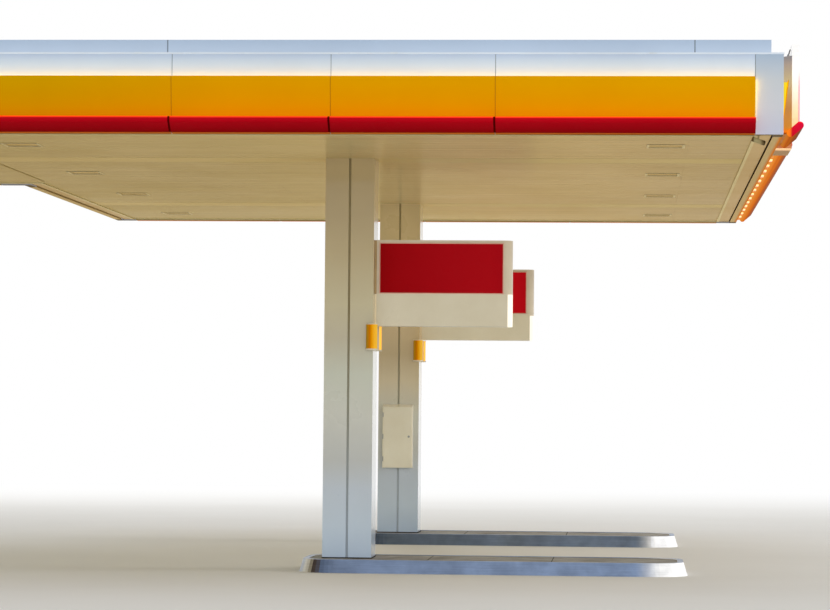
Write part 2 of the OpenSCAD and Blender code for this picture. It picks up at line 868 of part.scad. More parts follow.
module sign_red_panels() {
    z = sign_low_h + sign_box_h - sign_red_top - sign_red_h;
    color("firebrick") each_sign() for (side = [-1, 1]) scale([1, side, 1])
        translate([sign_red_x, sign_box_t / 2 + seat, z]) cube([sign_red_l, sign_red_t, sign_red_h]);
}

module sign_brackets() {
    levels = [bracket_end, sign_low_h + sign_box_h - bracket_end - bracket_h];
    color("gray") each_sign() for (z = levels)
        translate([seat - sign_gap, -bracket_w / 2, z]) cube([sign_gap - 2 * seat, bracket_w, bracket_h]);
}

// Column lamps

// Places children at each lamp: on the face of the column, Y pointing away from it
module each_lamp() {
    for (c = all_columns, side = [-1, 1])
        translate([c[0] + column_w / 2 - lamp_in, c[1] + side * (column_w / 2 + seat), lamp_z])
            scale([1, side, 1]) children();
}

// A half disc on the wall
module half_disc(r, h) {
    difference() {
        cylinder(r = r, h = h);
        translate([-2 * r, -4 * r, -fuse]) cube([4 * r, 4 * r, h + 2 * fuse]);
    }
}

module lamp_bases() {
    r = cover_r + rim_out;
    color("ivory") each_lamp() {
        translate([plate_in - cover_r, 0, 0]) cube([2 * (cover_r - plate_in), plate_t, lamp_body_h]);
        translate([0, plate_t - fuse, 0]) half_disc(r, rim_low_t);
        translate([0, plate_t - fuse, lamp_body_h - rim_high_t]) half_disc(r, rim_high_t);
    }
}

module lamp_covers() {
    color("orange") each_lamp() translate([0, plate_t + seat, rim_low_t + seat])
        half_disc(cover_r, lamp_body_h - rim_low_t - rim_high_t - 2 * seat);
}

// Side sign

backing_top = fascia_top + backing_rise;
side_sign_z = fascia_z + side_sign_foot;

module side_sign_backing() {
    color("antiquewhite") on_side(right_side) {
        translate([side_sign_from, 0, 0]) extrude_x(side_sign_w) polygon([
            [-seat, fascia_z], [-backing_d, fascia_z], [-backing_d, backing_top],
            [-seat, backing_top - backing_fall],
        ]);
        for (u = [side_sign_from + stay_in, side_sign_from + side_sign_w - stay_in])
            translate([u, stay_run - backing_d, backing_top - backing_fall])
                rotate([atan2(stay_run - stay_r - fuse, stay_rise), 0, 0])
                    cylinder(r = stay_r, h = norm([stay_run - stay_r - fuse, stay_rise]));
    }
}

module side_sign_box() {
    color("white") on_side(right_side)
        translate([side_sign_from, -backing_d - seat, side_sign_z]) rotate([90, 0, 0])
            rounded_box(side_sign_w, side_sign_h, side_sign_t, side_sign_r);
}

// Camera under the plain strip at the front right corner of the soffit

module soffit_camera() {
    drop = camera_stem + camera_r;
    back = fascia_d + shadow_gap + edge_strip_w / 2;
    color("dimgray") translate([x_right - camera_in, y_front + back, soffit_z]) {
        translate([0, 0, -drop]) cylinder(r = camera_foot_r / 3, h = drop - seat);
        translate([0, 0, -camera_stem / 5]) cylinder(r = camera_foot_r, h = camera_stem / 5 - seat);
        translate([0, 0, -drop]) rotate([0, 90 + camera_tilt, 0]) translate([0, 0, -camera_l / 2])
            cylinder(r = camera_r, h = camera_l);
    }
}

island_kerbs();
island_slabs();
column_frames();
cladding([front_row[0]]);  // near_column_cladding
cladding(concat(left_row, [far_column]));  // other_column_cladding
column_joint_strips();
wall_cabinet();
main_beams();
cross_beams();
edge_beams();
ceiling_rails();
roof_deck();
roof_upstand();
fascia_coping();
fascia_posts();
fascia([front_side]);  // front_fascia
fascia([right_side]);  // right_fascia
fascia([rear_side, strip_side]);  // rear_fascia
fascia([block_side, left_side]);  // left_fascia
corner_panels();
yellow_band([front_side]);  // front_yellow_band
yellow_band([right_side]);  // right_yellow_band
yellow_band([rear_side]);  // rear_yellow_band
yellow_band([left_side]);  // left_yellow_band
red_bar([front_side]);  // front_red_bar
red_bar([right_side]);  // right_red_bar
red_bar([rear_side]);  // rear_red_bar
red_bar([left_side]);  // left_red_bar
red_bar_brackets();
light_modules();
strip_soffit();
block_soffit();
soffit_edge_strips();
soffit_beads();
luminaire_housings();
luminaire_lenses();
sign_light_boxes();
sign_lower_panels();
sign_red_panels();
sign_brackets();
lamp_bases();
lamp_covers();
side_sign_backing();
side_sign_box();
soffit_camera();
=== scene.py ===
# %% [markdown]
# # A filling station canopy
# A canopy is a flat roof on a few columns, open on all sides. The solids come from the
# construction model. This lesson gives them their finishes, and adds the parts that are
# too fine for the construction model: the planks of the ceiling, trims, seals and screws.
# Everything is in metres, and the foot of the near column is the origin.

# %% Load the construction model
import math

import bmesh
import bpy
from mathutils import Matrix, Vector


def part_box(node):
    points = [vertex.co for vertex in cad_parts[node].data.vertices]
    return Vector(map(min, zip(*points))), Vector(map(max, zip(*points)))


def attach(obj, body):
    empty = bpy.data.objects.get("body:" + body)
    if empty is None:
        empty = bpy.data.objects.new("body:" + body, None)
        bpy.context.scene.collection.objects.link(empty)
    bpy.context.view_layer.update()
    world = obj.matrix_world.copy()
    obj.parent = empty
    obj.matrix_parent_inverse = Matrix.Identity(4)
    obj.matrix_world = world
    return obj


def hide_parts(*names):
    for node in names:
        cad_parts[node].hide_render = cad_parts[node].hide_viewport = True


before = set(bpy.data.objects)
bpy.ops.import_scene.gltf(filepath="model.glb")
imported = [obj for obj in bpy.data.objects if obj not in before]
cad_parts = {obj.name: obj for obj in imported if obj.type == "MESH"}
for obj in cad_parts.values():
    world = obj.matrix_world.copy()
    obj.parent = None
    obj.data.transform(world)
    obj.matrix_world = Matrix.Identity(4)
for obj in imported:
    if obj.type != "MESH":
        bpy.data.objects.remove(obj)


def rounded(numbers):
    """Rounds numbers to millimetres, for the prints."""
    return [round(number, 3) for number in numbers]


scene = bpy.context.scene
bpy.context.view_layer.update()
soffit_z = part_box("strip_soffit")[0].z
fascia_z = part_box("front_fascia")[0].z

# %% [markdown]
# ## Main sizes
# A few sizes come back all through the lesson: where the columns stand, where the luminaires
# hang, and how far the trays of the fascia stand out on each side.

# %% Main sizes
X, Y, Z = 0, 1, 2
DOWN, UP, RIGHT, FRONT = (0, 0, -1), (0, 0, 1), (1, 0, 0), (0, -1, 0)
bay, far_row = 10.03, 8.1
columns = ((0.0, 0.0), (-bay, 0.0), (0.0, far_row))
lamp_x = (3.83, -3.705, 3.83 - bay, -3.705 - bay)
lamp_places = ([(x, y) for x in lamp_x for y in (-2.1, 2.1)]
               + [(x, y) for x in lamp_x[:2] for y in (6.0, 10.2)])
left_x, right_x, block_x = -14.96, 5.1, -4.93
front_y, strip_y, rear_y = -3.8, 4.2, 11.9
outwards = {"front": (FRONT, -front_y), "right": (RIGHT, right_x),
            "rear": ((0, 1, 0), rear_y), "left": ((-1, 0, 0), -left_x)}
print("columns:", len(columns), "luminaires:", len(lamp_places))

# %% [markdown]
# ## The camera
# The photographer stood far in front of the canopy and zoomed in. A long lens from 38 m
# away keeps the uprights almost parallel, so the distance matters as much as the angle.
# The camera turns about its own axes: first round the upright, then up, then a slight roll.

# %% Place the camera
camera_data = bpy.data.cameras.new("long_lens")
camera_data.sensor_fit = "HORIZONTAL"
camera_data.sensor_width = 36.0
camera_data.lens = 133.02
camera_data.clip_start = 0.5
camera_data.clip_end = 900.0
camera = bpy.data.objects.new("long_lens", camera_data)
scene.collection.objects.link(camera)
pan, tilt, roll = (math.radians(angle) for angle in (4.07518, 92.00064, 0.49765))
camera.matrix_world = (
    Matrix.Translation((3.46676, -37.60077, 1.94247))
    @ Matrix.Rotation(pan, 4, "Z") @ Matrix.Rotation(tilt, 4, "X") @ Matrix.Rotation(roll, 4, "Z")
)
scene.camera = camera
print("camera at", rounded(camera.matrix_world.translation))

# %% [markdown]
# ## Colours and nodes
# Colours are written as hex values, as a colour card gives them. Blender mixes light, so
# its sockets want linear values, and one function turns one into the other.
# A second function adds a node and gives one of its outputs, so one node can feed the next.
# Its sockets are listed in their own order, or by name or number where that is clearer. The
# first five of a Map Range node are a value, the start and end of its run, and what those
# two become. A socket knows its own node tree, so the tree is named only where nothing is
# linked.

# %% Helpers for colours and nodes
def linear(code, alpha=1.0):
    """Turns a hex colour into linear red, green and blue."""
    parts = [int(code[i:i + 2], 16) / 255 for i in (1, 3, 5)]
    return [p / 12.92 if p <= 0.04045 else ((p + 0.055) / 1.055) ** 2.4 for p in parts] + [alpha]


def feed(node, sockets):
    """Links the sockets of a node, or sets them to values or hex colours."""
    for name, value in sockets.items():
        if isinstance(value, bpy.types.NodeSocket):
            node.id_data.links.new(value, node.inputs[name])
        else:
            node.inputs[name].default_value = linear(value) if isinstance(value, str) else value


def add(kind, sockets=(), out=0, tree=None, stops=(), **settings):
    """Adds a node with its sockets, its settings and the stops of a ramp, and gives one output."""
    sockets = sockets if isinstance(sockets, dict) else dict(enumerate(sockets))
    tree = tree or next(v.id_data for v in sockets.values() if isinstance(v, bpy.types.NodeSocket))
    made = tree.nodes.new(kind)
    for name, value in settings.items():
        setattr(made, name, value)
    feed(made, sockets)
    if stops:
        elements = made.color_ramp.elements
        while len(elements) < len(stops):
            elements.new(1.0)
        for element, (place, _) in zip(elements, stops):
            element.position = place
        for element, (_, code) in zip(elements, stops):
            element.color = linear(code)
    return made.outputs[out]


print("mid grey is", rounded(linear("#808080")))

# %% [markdown]
# ## A coated surface
# Most parts here are sheet metal with a coat of paint, or sheet plastic. Up close such a
# surface is never one colour: the coat clouds over a metre or two, dust lies on it, and its
# gloss wanders. One function makes that base for all of them, and each finish adds its own.
# Patterns read Object coordinates, so their sizes are real, in metres.

# %% Base of the coated finishes
def run_along(vector, number, start, end, low=0.0, high=1.0):
    """Turns a run along one axis, from start to end, into a run from 0 to 1 or low to high."""
    reach = add("ShaderNodeSeparateXYZ", [vector], number)
    return add("ShaderNodeMapRange", [reach, start, end, low, high])


def tone_run(place, tone, along):
    """Turns a run of (metres, colour) along an axis into nodes, and leaves a hex colour as it is."""
    if isinstance(tone, str):
        return tone
    low, high = tone[0][0], tone[-1][0]
    stops = [((metres - low) / (high - low), code) for metres, code in tone]
    return add("ShaderNodeValToRGB", [run_along(place, along, low, high)], stops=stops)


def shade(made, **sockets):
    """Links or sets the sockets of a finish's shader, by short names."""
    names = {"base": "Base Color", "metal": "Metallic", "rough": "Roughness", "alpha": "Alpha",
             "relief": "Normal", "level": "Specular IOR Level", "tint": "Specular Tint",
             "coat": "Coat Weight", "coat_rough": "Coat Roughness",
             "glow": "Emission Color", "strength": "Emission Strength"}
    feed(made.node_tree.nodes["Principled BSDF"],
         {names[name]: value for name, value in sockets.items()})


def coated(name, tone, dusty, rough, patch=1.4, grain=0.012, dent=0.0002, share=0.35, metal=0.0,
           along=Z, level=0.5, coat=0.0):
    """Makes a coated surface, in an even tone or a run of tones along an axis."""
    made = bpy.data.materials.new(name)
    made.use_nodes = True
    place = add("ShaderNodeTexCoord", out="Object", tree=made.node_tree)
    clouds = add("ShaderNodeTexNoise", {
        "Vector": place, "Scale": 1 / patch, "Detail": 5.0, "Roughness": 0.6})
    dust = add("ShaderNodeMapRange", [clouds, 0.38, 0.75, 0.0, share])
    dulled = add("ShaderNodeMix", {0: dust, 6: tone_run(place, tone, along), 7: dusty}, 2,
                 data_type="RGBA", blend_type="MULTIPLY")
    gloss = add("ShaderNodeMapRange", [clouds, 0.3, 0.7, rough * 0.85, min(1.0, rough * 1.2)])
    fine = add("ShaderNodeTexNoise", {"Vector": place, "Scale": 1 / grain, "Detail": 3.0})
    relief = add("ShaderNodeBump", {"Height": fine, "Strength": 0.5, "Distance": dent})
    shade(made, base=dulled, rough=gloss, relief=relief, metal=metal, level=level, coat=coat,
          coat_rough=0.08)
    return made


def fed_by(made, name):
    """Gives what feeds a socket of a finish's shader so far."""
    return made.node_tree.nodes["Principled BSDF"].inputs[name].links[0].from_socket


def parts_of(made):
    """Gives the place socket and the colour link of a finish."""
    place_node = next(n for n in made.node_tree.nodes if n.bl_idname == "ShaderNodeTexCoord")
    return place_node.outputs["Object"], fed_by(made, "Base Color")


def toward(made, direction, start=0.6, end=0.95):
    """Gives how much a surface turns to a direction: 0 and 1 at two cosines of the angle."""
    normal = add("ShaderNodeNewGeometry", out="Normal", tree=made.node_tree)
    cosine = add("ShaderNodeVectorMath", [normal, direction], "Value", operation="DOT_PRODUCT")
    return add("ShaderNodeMapRange", [cosine, start, end], interpolation_type="SMOOTHSTEP")


def underside(made, tone, gloss=0.5):
    """Gives a finish another, duller tone where the sheet faces down."""
    place, colour = parts_of(made)
    down = toward(made, DOWN)
    both = add("ShaderNodeMix", {0: down, 6: colour, 7: tone_run(place, tone, X)}, 2,
               data_type="RGBA")
    shade(made, base=both, level=add("ShaderNodeMapRange", [down, 0, 1, gloss, 0.0]))
    return made


def lit(made, seen, seen_strength, cast, cast_strength):
    """Gives a glow for the eye and another for the light that it casts, to lamps and to painted lamp
    light.
    """
    eye = add("ShaderNodeLightPath", out="Is Camera Ray", tree=made.node_tree)
    glow = add("ShaderNodeMix", {0: eye, 6: cast, 7: seen}, 2, data_type="RGBA")
    strength = add("ShaderNodeMapRange", [eye, 0, 1, cast_strength, seen_strength])
    shade(made, glow=glow, strength=strength)


def first_stretch(place, lit_value, dim_value):
    """Gives a dim value where the lamps are off, on the right before the sign, or a lit one."""
    on_right = run_along(place, X, right_x - 0.005, right_x)
    before_sign = run_along(place, Y, -1.95, -2.0)
    unlit = add("ShaderNodeMath", [on_right, before_sign], operation="MULTIPLY")
    return add("ShaderNodeMapRange", [unlit, 0, 1, lit_value, dim_value])


def wear(made, *node_names):
    """Puts a finish on solids of the construction model."""
    for name in node_names:
        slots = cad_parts[name].data.materials
        slots.clear()
        slots.append(made)


print("base finish ready")

# %% [markdown]
# ## White panels
# The fascia is made of folded sheet trays with a satin white coat. In open shade a white
# coat takes the blue of the sky, most of all near the roof's edge. A run of tones by height
# paints that sky light. The warm glow above the yellow band isn't painted: light strips make it.
# Below, the amber under the front trays is painted lamp light, darker to the right as painted
# shade. The outer lip has painted lamp light and a painted glow, and the faces inside the
# shadow gap have painted shade.

# %% White panels of the fascia
def from_foot(*stops):
    """Gives a run of tones by the height above the foot of the fascia."""
    return [(fascia_z + height, code) for height, code in stops]


def tray_white(side, underside_tone, inside_shade):
    """Makes the white coat of a side's trays, with another tone below and painted shade inside the
    gap.
    """
    made = coated("satin white coated tray, " + side, from_foot(
        (0, "#d9d4ca"), (0.60, "#f4f2ea"), (0.70, "#e8ecf2"), (0.76, "#dde8f4"), (0.82, "#d0dff0"),
        (0.885, "#bccee8")), "#d9d8d4", 0.34, share=0.2)
    underside(made, underside_tone)
    place, colour = parts_of(made)
    outward, plane = outwards[side]
    reach = add("ShaderNodeVectorMath", [place, outward], "Value", operation="DOT_PRODUCT")
    lip = add("ShaderNodeMapRange", [reach, plane - 0.045, plane - 0.008])
    foot = run_along(place, Z, fascia_z + 0.15, fascia_z + 0.12)
    # Painted lamp light: the foot of the outer lip turns amber.
    painted_lip_light = add("ShaderNodeMath", [foot, lip], operation="MULTIPLY")
    outside = add("ShaderNodeMix", {0: painted_lip_light, 6: colour, 7: "#cc7c30"}, 2, data_type="RGBA")
    # Painted shade: faces turned inwards, into the shadow gap, take a dark tone.
    back = toward(made, outward, -0.8, -0.95)
    base = add("ShaderNodeMix", {0: back, 6: outside, 7: inside_shade}, 2, data_type="RGBA")
    dull = add("ShaderNodeMath", [painted_lip_light, back], operation="MAXIMUM")
    level = add("ShaderNodeMix", {0: dull, 2: fed_by(made, "Specular IOR Level"), 3: 0.0})
    # Painted glow: the underside of the lip glows amber, for the lamps' light it catches.
    lit_lip = add("ShaderNodeMath", [lip, toward(made, DOWN)], operation="MULTIPLY")
    shade(made, base=base, level=level, glow="#80400c", strength=lit_lip)
    return made


# Painted light: the amber under the front trays stands for the lamps' light, darker to the right as
# painted shade.
front_underside_light = [(1.9, "#a0703c"), (3.1, "#683a14")]
# The painted shade inside the gap is darkest on the right side.
for side in outwards:
    wear(tray_white(side, front_underside_light if side == "front" else "#e9cb93",
                    "#301808" if side == "right" else "#a88a54"), side + "_fascia")
corner_white = coated("satin white coated corner tray", from_foot(
    (0, "#c6cbde"), (0.3, "#cfd4dc"), (0.6, "#c9d1d8"), (0.885, "#acc0d6")),
    "#d9d8d4", 0.34, share=0.2)
wear(underside(corner_white, "#8a7a60"), "corner_panels")
wear(coated("satin white flashing sheet", from_foot((0.90, "#cddcee"), (1.06, "#b4c8e0")),
            "#d5d8dc", 0.38, share=0.2), "roof_upstand")
wear(coated("gloss white coping", "#e2edfa", "#cfd2d2", 0.25), "fascia_coping")

# %% [markdown]
# ## Yellow band
# The band is gloss acrylic sheet on ribs, lit from behind. Light that passes through
# coloured acrylic comes out deeper in colour than light that falls on it, so the sheet
# glows a little of its own colour. The tone is a little deeper near the foot and to the
# left, where less light reaches it.

# %% Yellow acrylic
yellow = coated("gloss yellow acrylic, lit from behind", from_foot(
    (0.13, "#d69000"), (0.28, "#da9800"), (0.45, "#da9a00"), (0.635, "#da9f00")),
    "#e8c68a", 0.22, patch=3.0, share=0.25, level=0.0)
place, colour = parts_of(yellow)
to_the_left = tone_run(place, [(-3.2, "#eaf6ff"), (-1.0, "#ffffff")], X)
deeper = add("ShaderNodeMix", {0: 1.0, 6: colour, 7: to_the_left}, 2,
             data_type="RGBA", blend_type="MULTIPLY")
shade(yellow, base=deeper, glow=deeper, strength=0.12)
wear(yellow, *(side + "_yellow_band" for side in outwards))
band_low, band_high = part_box("front_yellow_band")
print("yellow band from", round(band_low.z, 3), "to", round(band_high.z, 3))

# %% [markdown]
# ## Red bar
# The bar is a thick acrylic blade with round edges. Lamps behind it light its inner side
# and its upper edge, and its outer side stays deep red. That lamp light is a painted glow,
# and the base tones are painted too: darker at the foot as shade, orange at the top edge as
# lamp light. Which side of the blade is the inner one depends on the side of the roof, so
# each side has its own copy of the finish: it compares the surface's direction with the
# outward direction of that side. Seen from below at a flat angle, edge-lit acrylic shows the
# light that runs inside it, as a painted glow over a base painted darker.

# %% Red acrylic, one finish for each side of the roof
def red_acrylic(side):
    """Makes the red acrylic of the bar on one side of the roof."""
    outward, plane = outwards[side]
    # The base tones are painted shade at the foot and painted lamp light at the top edge.
    made = coated("gloss red acrylic, " + side, from_foot(
        (0, "#8c0406"), (0.05, "#a60312"), (0.13, "#be0418"), (0.155, "#c40616"),
        (0.162, "#ff2418"), (0.175, "#ff4a20")), "#b08078", 0.2, patch=2.5, share=0.2, level=0.03)
    place, colour = parts_of(made)
    flatness = add("ShaderNodeLayerWeight", {"Blend": 0.5}, "Facing", made.node_tree)
    inner_light = add("ShaderNodeValToRGB", [toward(made, outward, 0.15, -0.75)], stops=[
        (0.0, "#000000"), (0.25, "#8c0c00"), (0.55, "#d84c04"), (1.0, "#f08a1c")])
    reach = add("ShaderNodeVectorMath", [place, outward], "Value", operation="DOT_PRODUCT")
    out = add("ShaderNodeMapRange", [reach, plane + 0.05, plane + 0.24])
    end_light = add("ShaderNodeValToRGB", [out], stops=[
        (0.0, "#f09410"), (0.2, "#e87c18"), (0.32, "#a01020"), (1.0, "#980838")])
    edge_light = add("ShaderNodeValToRGB", [out], stops=[
        (0.0, "#ea9840"), (0.3, "#e07420"), (0.55, "#b86028"), (1.0, "#905c4c")])
    along = (outward[1], -outward[0], 0)
    ends = add("ShaderNodeMath", [toward(made, along, 0.8), toward(made, along, -0.8, -0.95)],
               operation="MAXIMUM")
    at_flat_angle = add("ShaderNodeMapRange", [flatness, 0.85, 0.93])
    below = add("ShaderNodeMath", [at_flat_angle, toward(made, DOWN, 0.1, 0.4)],
                operation="MULTIPLY")
    upper_edge = run_along(place, Z, fascia_z + 0.150, fascia_z + 0.164)
    # The glow is painted lamp light on the inner side, upper edge, underside and ends.
    glow = inner_light
    for part, light in ((upper_edge, "#c83c08"), (below, edge_light), (ends, end_light)):
        glow = add("ShaderNodeMix", {0: part, 6: glow, 7: light}, 2, data_type="RGBA")
    lit_ends = add("ShaderNodeMath", [ends, 0.9], operation="MULTIPLY")
    strength = add("ShaderNodeMath", [lit_ends, first_stretch(place, 0.9, 0.62)],
                   operation="MAXIMUM")
    shade(made, glow=glow, strength=strength,
          base=add("ShaderNodeMix", {0: below, 6: colour, 7: "#3c1408"}, 2, data_type="RGBA"),
          level=add("ShaderNodeMapRange", [flatness, 0.3, 0.8, 0.03, 0.0]))
    return made


for side in outwards:
    wear(red_acrylic(side), side + "_red_bar")
print("red bars:", len(outwards))

# %% [markdown]
# ## Light modules
# Small lamps sit in a row behind the bar. Their upright lens faces are so bright that a
# camera sees them almost white, and the undersides of their cases glow amber. The
# direction of the surface tells one from the other. On the right side the lamps between
# the corner and the side sign are off.

# %% Lit amber lenses
lit_amber = coated("lit amber polycarbonate lens", "#a06020", "#ffb347", 0.2, patch=0.1, share=0.3)
place, _ = parts_of(lit_amber)
upright = toward(lit_amber, DOWN, 0.7, 0.2)
heat = add("ShaderNodeMix", {0: upright, 6: "#b8661a", 7: "#ffdc98"}, 2, data_type="RGBA")
lit(lit_amber, heat, first_stretch(place, 1.5, 0.1), "#ff7c10", 0.2)
wear(lit_amber, "light_modules")
print("modules lit")

# %% [markdown]
# ## Column cladding
# The columns are clad in two folded sheets with an open joint between them. The satin
# coat is white, but it stands under a gold-toned ceiling and on blue-grey steel kerbs, so
# it looks warm at the top and cool at the foot. A run of tones by height gives that drift.
# The gloss ceiling mirrors the columns a little too dark, so mirror rays get a slight lift.

# %% Column sheets and the strip in their joint
cladding_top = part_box("near_column_cladding")[1].z
foot_tones = [(0.16, "#bfd3ea"), (0.55, "#c8d8e7"), (1.0, "#c4cfda"), (1.35, "#c2c5c2"),
              (1.9, "#cfd0c5")]
# The copies differ only in painted light: the near column's upper tones are darker, and its mirror
# lift smaller, than the other columns'.
high_tones = {
    "near": [(2.4, "#ccd0c0"), (2.85, "#c4bca2"), (3.25, "#ccc29e"), (3.9, "#beac80"),
             (4.35, "#b4a074"), (4.66, "#b6a174"), (cladding_top, "#c8b286")],
    "other": [(2.4, "#dccdaa"), (2.8, "#ccb688"), (3.25, "#dcc290"), (3.9, "#dcc490"),
              (4.35, "#dcc490"), (4.66, "#dec694"), (cladding_top, "#dcc492")],
}
for which, lift in (("near", 0.13), ("other", 0.18)):
    sheet = coated("satin coated column sheet, " + which, foot_tones + high_tones[which],
                   "#d8cdb8", 0.3, share=0.15, coat=0.8)
    mirrored = add("ShaderNodeLightPath", out="Is Glossy Ray", tree=sheet.node_tree)
    lifted = add("ShaderNodeMath", [mirrored, lift], operation="MULTIPLY")
    shade(sheet, glow="#f0dcf6", strength=lifted)
    wear(sheet, which + "_column_cladding")
# The joint strip has the same painted light: cool at the foot, warm at the top.
joint_dark = coated("matt grey joint strip", [
    (0.16, "#aab4be"), (1.0, "#aab2b6"), (1.9, "#a6a698"), (3.2, "#9c906e"),
    (cladding_top, "#9b8c64")], "#c8c0b0", 0.8, patch=0.5, share=0.2)
wear(joint_dark, "column_joint_strips")
print("cladding ends at", round(cladding_top, 3))

# %% [markdown]
# ## Steel and galvanised parts
# The frame above the ceiling is primed steel. Rails, posts and brackets are galvanised:
# zinc dries in flat crystals of about 20 mm, which catch the light one by one. A Voronoi
# pattern gives each crystal its own shade.

# %% Primer and zinc
wear(coated("red oxide primed steel", "#6c3c28", "#4c3830", 0.6, patch=0.8, share=0.5,
            dent=0.0004, level=0.1), "column_frames", "main_beams", "cross_beams", "edge_beams")
zinc = coated("galvanised steel", "#b4b8ba", "#9aa0a4", 0.42, patch=0.6, metal=0.7)
place, colour = parts_of(zinc)
crystal_w = 0.02
crystals = add("ShaderNodeTexVoronoi", {"Vector": place, "Scale": 1 / crystal_w}, "Color")
shade(zinc, base=add("ShaderNodeMix", {0: 0.35, 6: colour, 7: crystals}, 2,
                     data_type="RGBA", blend_type="SOFT_LIGHT"))
wear(zinc, "ceiling_rails", "roof_deck", "fascia_posts", "sign_brackets")
# The brackets' amber tone is painted light from the lamps behind the bar.
wear(coated("amber bracket coat with painted lamp light", "#dc8428", "#b06c30", 0.5, patch=0.3, level=0.05),
     "red_bar_brackets")
print("steel done")

# %% [markdown]
# ## Kerbs and slabs of the islands
# The islands are edged with bent steel sheet, brushed along its length and scuffed by
# tyres. The brushing is noise pulled out along the sheet. The steel's blue is a painted
# reflection of the sky. The round ends carry a painted reflection, set by the way the sheet
# faces: a bright band with a dark band beside it, and the kerb is darker towards its left end
# as painted shade. The sun catches the right tip of each kerb: a painted highlight there, and
# a faint painted glint. The slab inside is trowelled concrete.

# %% Kerb steel, with painted reflections at its round ends
# The blue base tone is a painted reflection of the sky.
kerb_steel = coated("brushed and scuffed kerb steel", "#7e93b4", "#8c8478", 0.34, patch=0.5,
                    grain=0.004, metal=0.75)
place, colour = parts_of(kerb_steel)
normal = add("ShaderNodeNewGeometry", out="Normal", tree=kerb_steel.node_tree)
# Painted reflection: the tone follows the way the surface faces, bright and dark round the ends.
painted_reflection = add("ShaderNodeValToRGB", [run_along(normal, X, -1.0, 1.0)], stops=[
    (0.0, "#a4b2c8"), (0.06, "#b8c0c8"), (0.10, "#e8e4d4"), (0.17, "#e0dac6"), (0.21, "#5a4e46"),
    (0.28, "#5e5658"), (0.33, "#6c7fa0"), (0.5, "#8194b4"), (0.58, "#98a6ba"), (0.68, "#ffffff"),
    (1.0, "#ffffff")])
in_roof = add("ShaderNodeSeparateXYZ", [place], X)
in_bay = add("ShaderNodeMath", [in_roof, right_x, block_x], operation="WRAP")
# Painted highlight at the right end of each kerb, and painted shade towards its left end.
painted_highlight_end = add("ShaderNodeMapRange", [in_bay, 3.50, 3.88], interpolation_type="SMOOTHSTEP")
left_shade = add("ShaderNodeMapRange", [in_bay, 1.6, -0.4, 0.94, 0.66])
painted_reflection = add("ShaderNodeVectorMath", {0: painted_reflection, "Scale": left_shade}, operation="SCALE")
painted_reflection = add("ShaderNodeMix", {0: painted_highlight_end, 6: painted_reflection, 7: "#ffffff"}, 2, data_type="RGBA")
sides_only = run_along(normal, Z, 0.9, 0.6)
with_painted_reflection = add("ShaderNodeMix", {0: sides_only, 6: colour, 7: painted_reflection}, 2, data_type="RGBA")
wear(kerb_steel, "island_kerbs")

# %% Brushing, scuffs and the sunlit tip
pulled = add("ShaderNodeMapping", {"Vector": place, "Scale": (0.8, 0.8, 60.0)})
brushing = add("ShaderNodeTexNoise", {
    "Vector": pulled, "Scale": 2.0, "Detail": 6.0, "Roughness": 0.7})
streaks = add("ShaderNodeMapRange", [brushing, 0.3, 0.7, 0.78, 1.12])
scuffs = add("ShaderNodeTexNoise", {
    "Vector": place, "Scale": 3.2, "Detail": 4.0, "Roughness": 0.6})
patches = add("ShaderNodeMapRange", [scuffs, 0.35, 0.65, 0.84, 1.16])
marks = add("ShaderNodeMath", [streaks, patches], operation="MULTIPLY")
streaked = add("ShaderNodeVectorMath", {0: with_painted_reflection, "Scale": marks}, operation="SCALE")
# Painted glint on the sunlit tip.
tip = add("ShaderNodeMath", [painted_highlight_end, sides_only], operation="MULTIPLY")
glint = add("ShaderNodeMath", [tip, 0.2], operation="MULTIPLY")
shade(kerb_steel, base=streaked, glow=streaked, strength=glint)
print("kerb steel has", len(kerb_steel.node_tree.nodes), "nodes")

# %% Trowelled concrete
concrete = coated("trowelled concrete", "#a09c94", "#8a8072", 0.85, patch=0.35, share=0.7,
                  grain=0.003, dent=0.0008)
place, colour = parts_of(concrete)
grit_w = 0.006
grit = add("ShaderNodeTexNoise", {"Vector": place, "Scale": 1 / grit_w, "Detail": 2.0})
speckle = add("ShaderNodeMapRange", [grit, 0.35, 0.65, 0.86, 1.1])
shade(concrete, base=add("ShaderNodeVectorMath", {0: colour, "Scale": speckle}, operation="SCALE"))
wear(concrete, "island_slabs")
print("slabs done")

# %% [markdown]
# ## Ceiling finish
# The ceiling is gloss coated steel in a gold-beige tone. Seen from far away along its
# face it acts as a mirror, and what it mirrors takes its own warm tone. A metal part in
# the shader does that: a metal tints its reflections, and a clear coat would not. Coils of
# sheet differ a little, so the rows of planks do too, and they are brightest on the right
# of the columns, where most light comes in.

# %% Gold-beige ceiling coats
def ceiling_coat(name, tone, edge, metal, rough):
    """Makes a coat that tints what it mirrors, most of all at a flat angle, in an edge colour."""
    made = coated(name, tone, "#d8cdb4", rough, patch=2.2, share=0.2, metal=metal, level=0.0, along=X)
    shade(made, tint=edge)
    return made


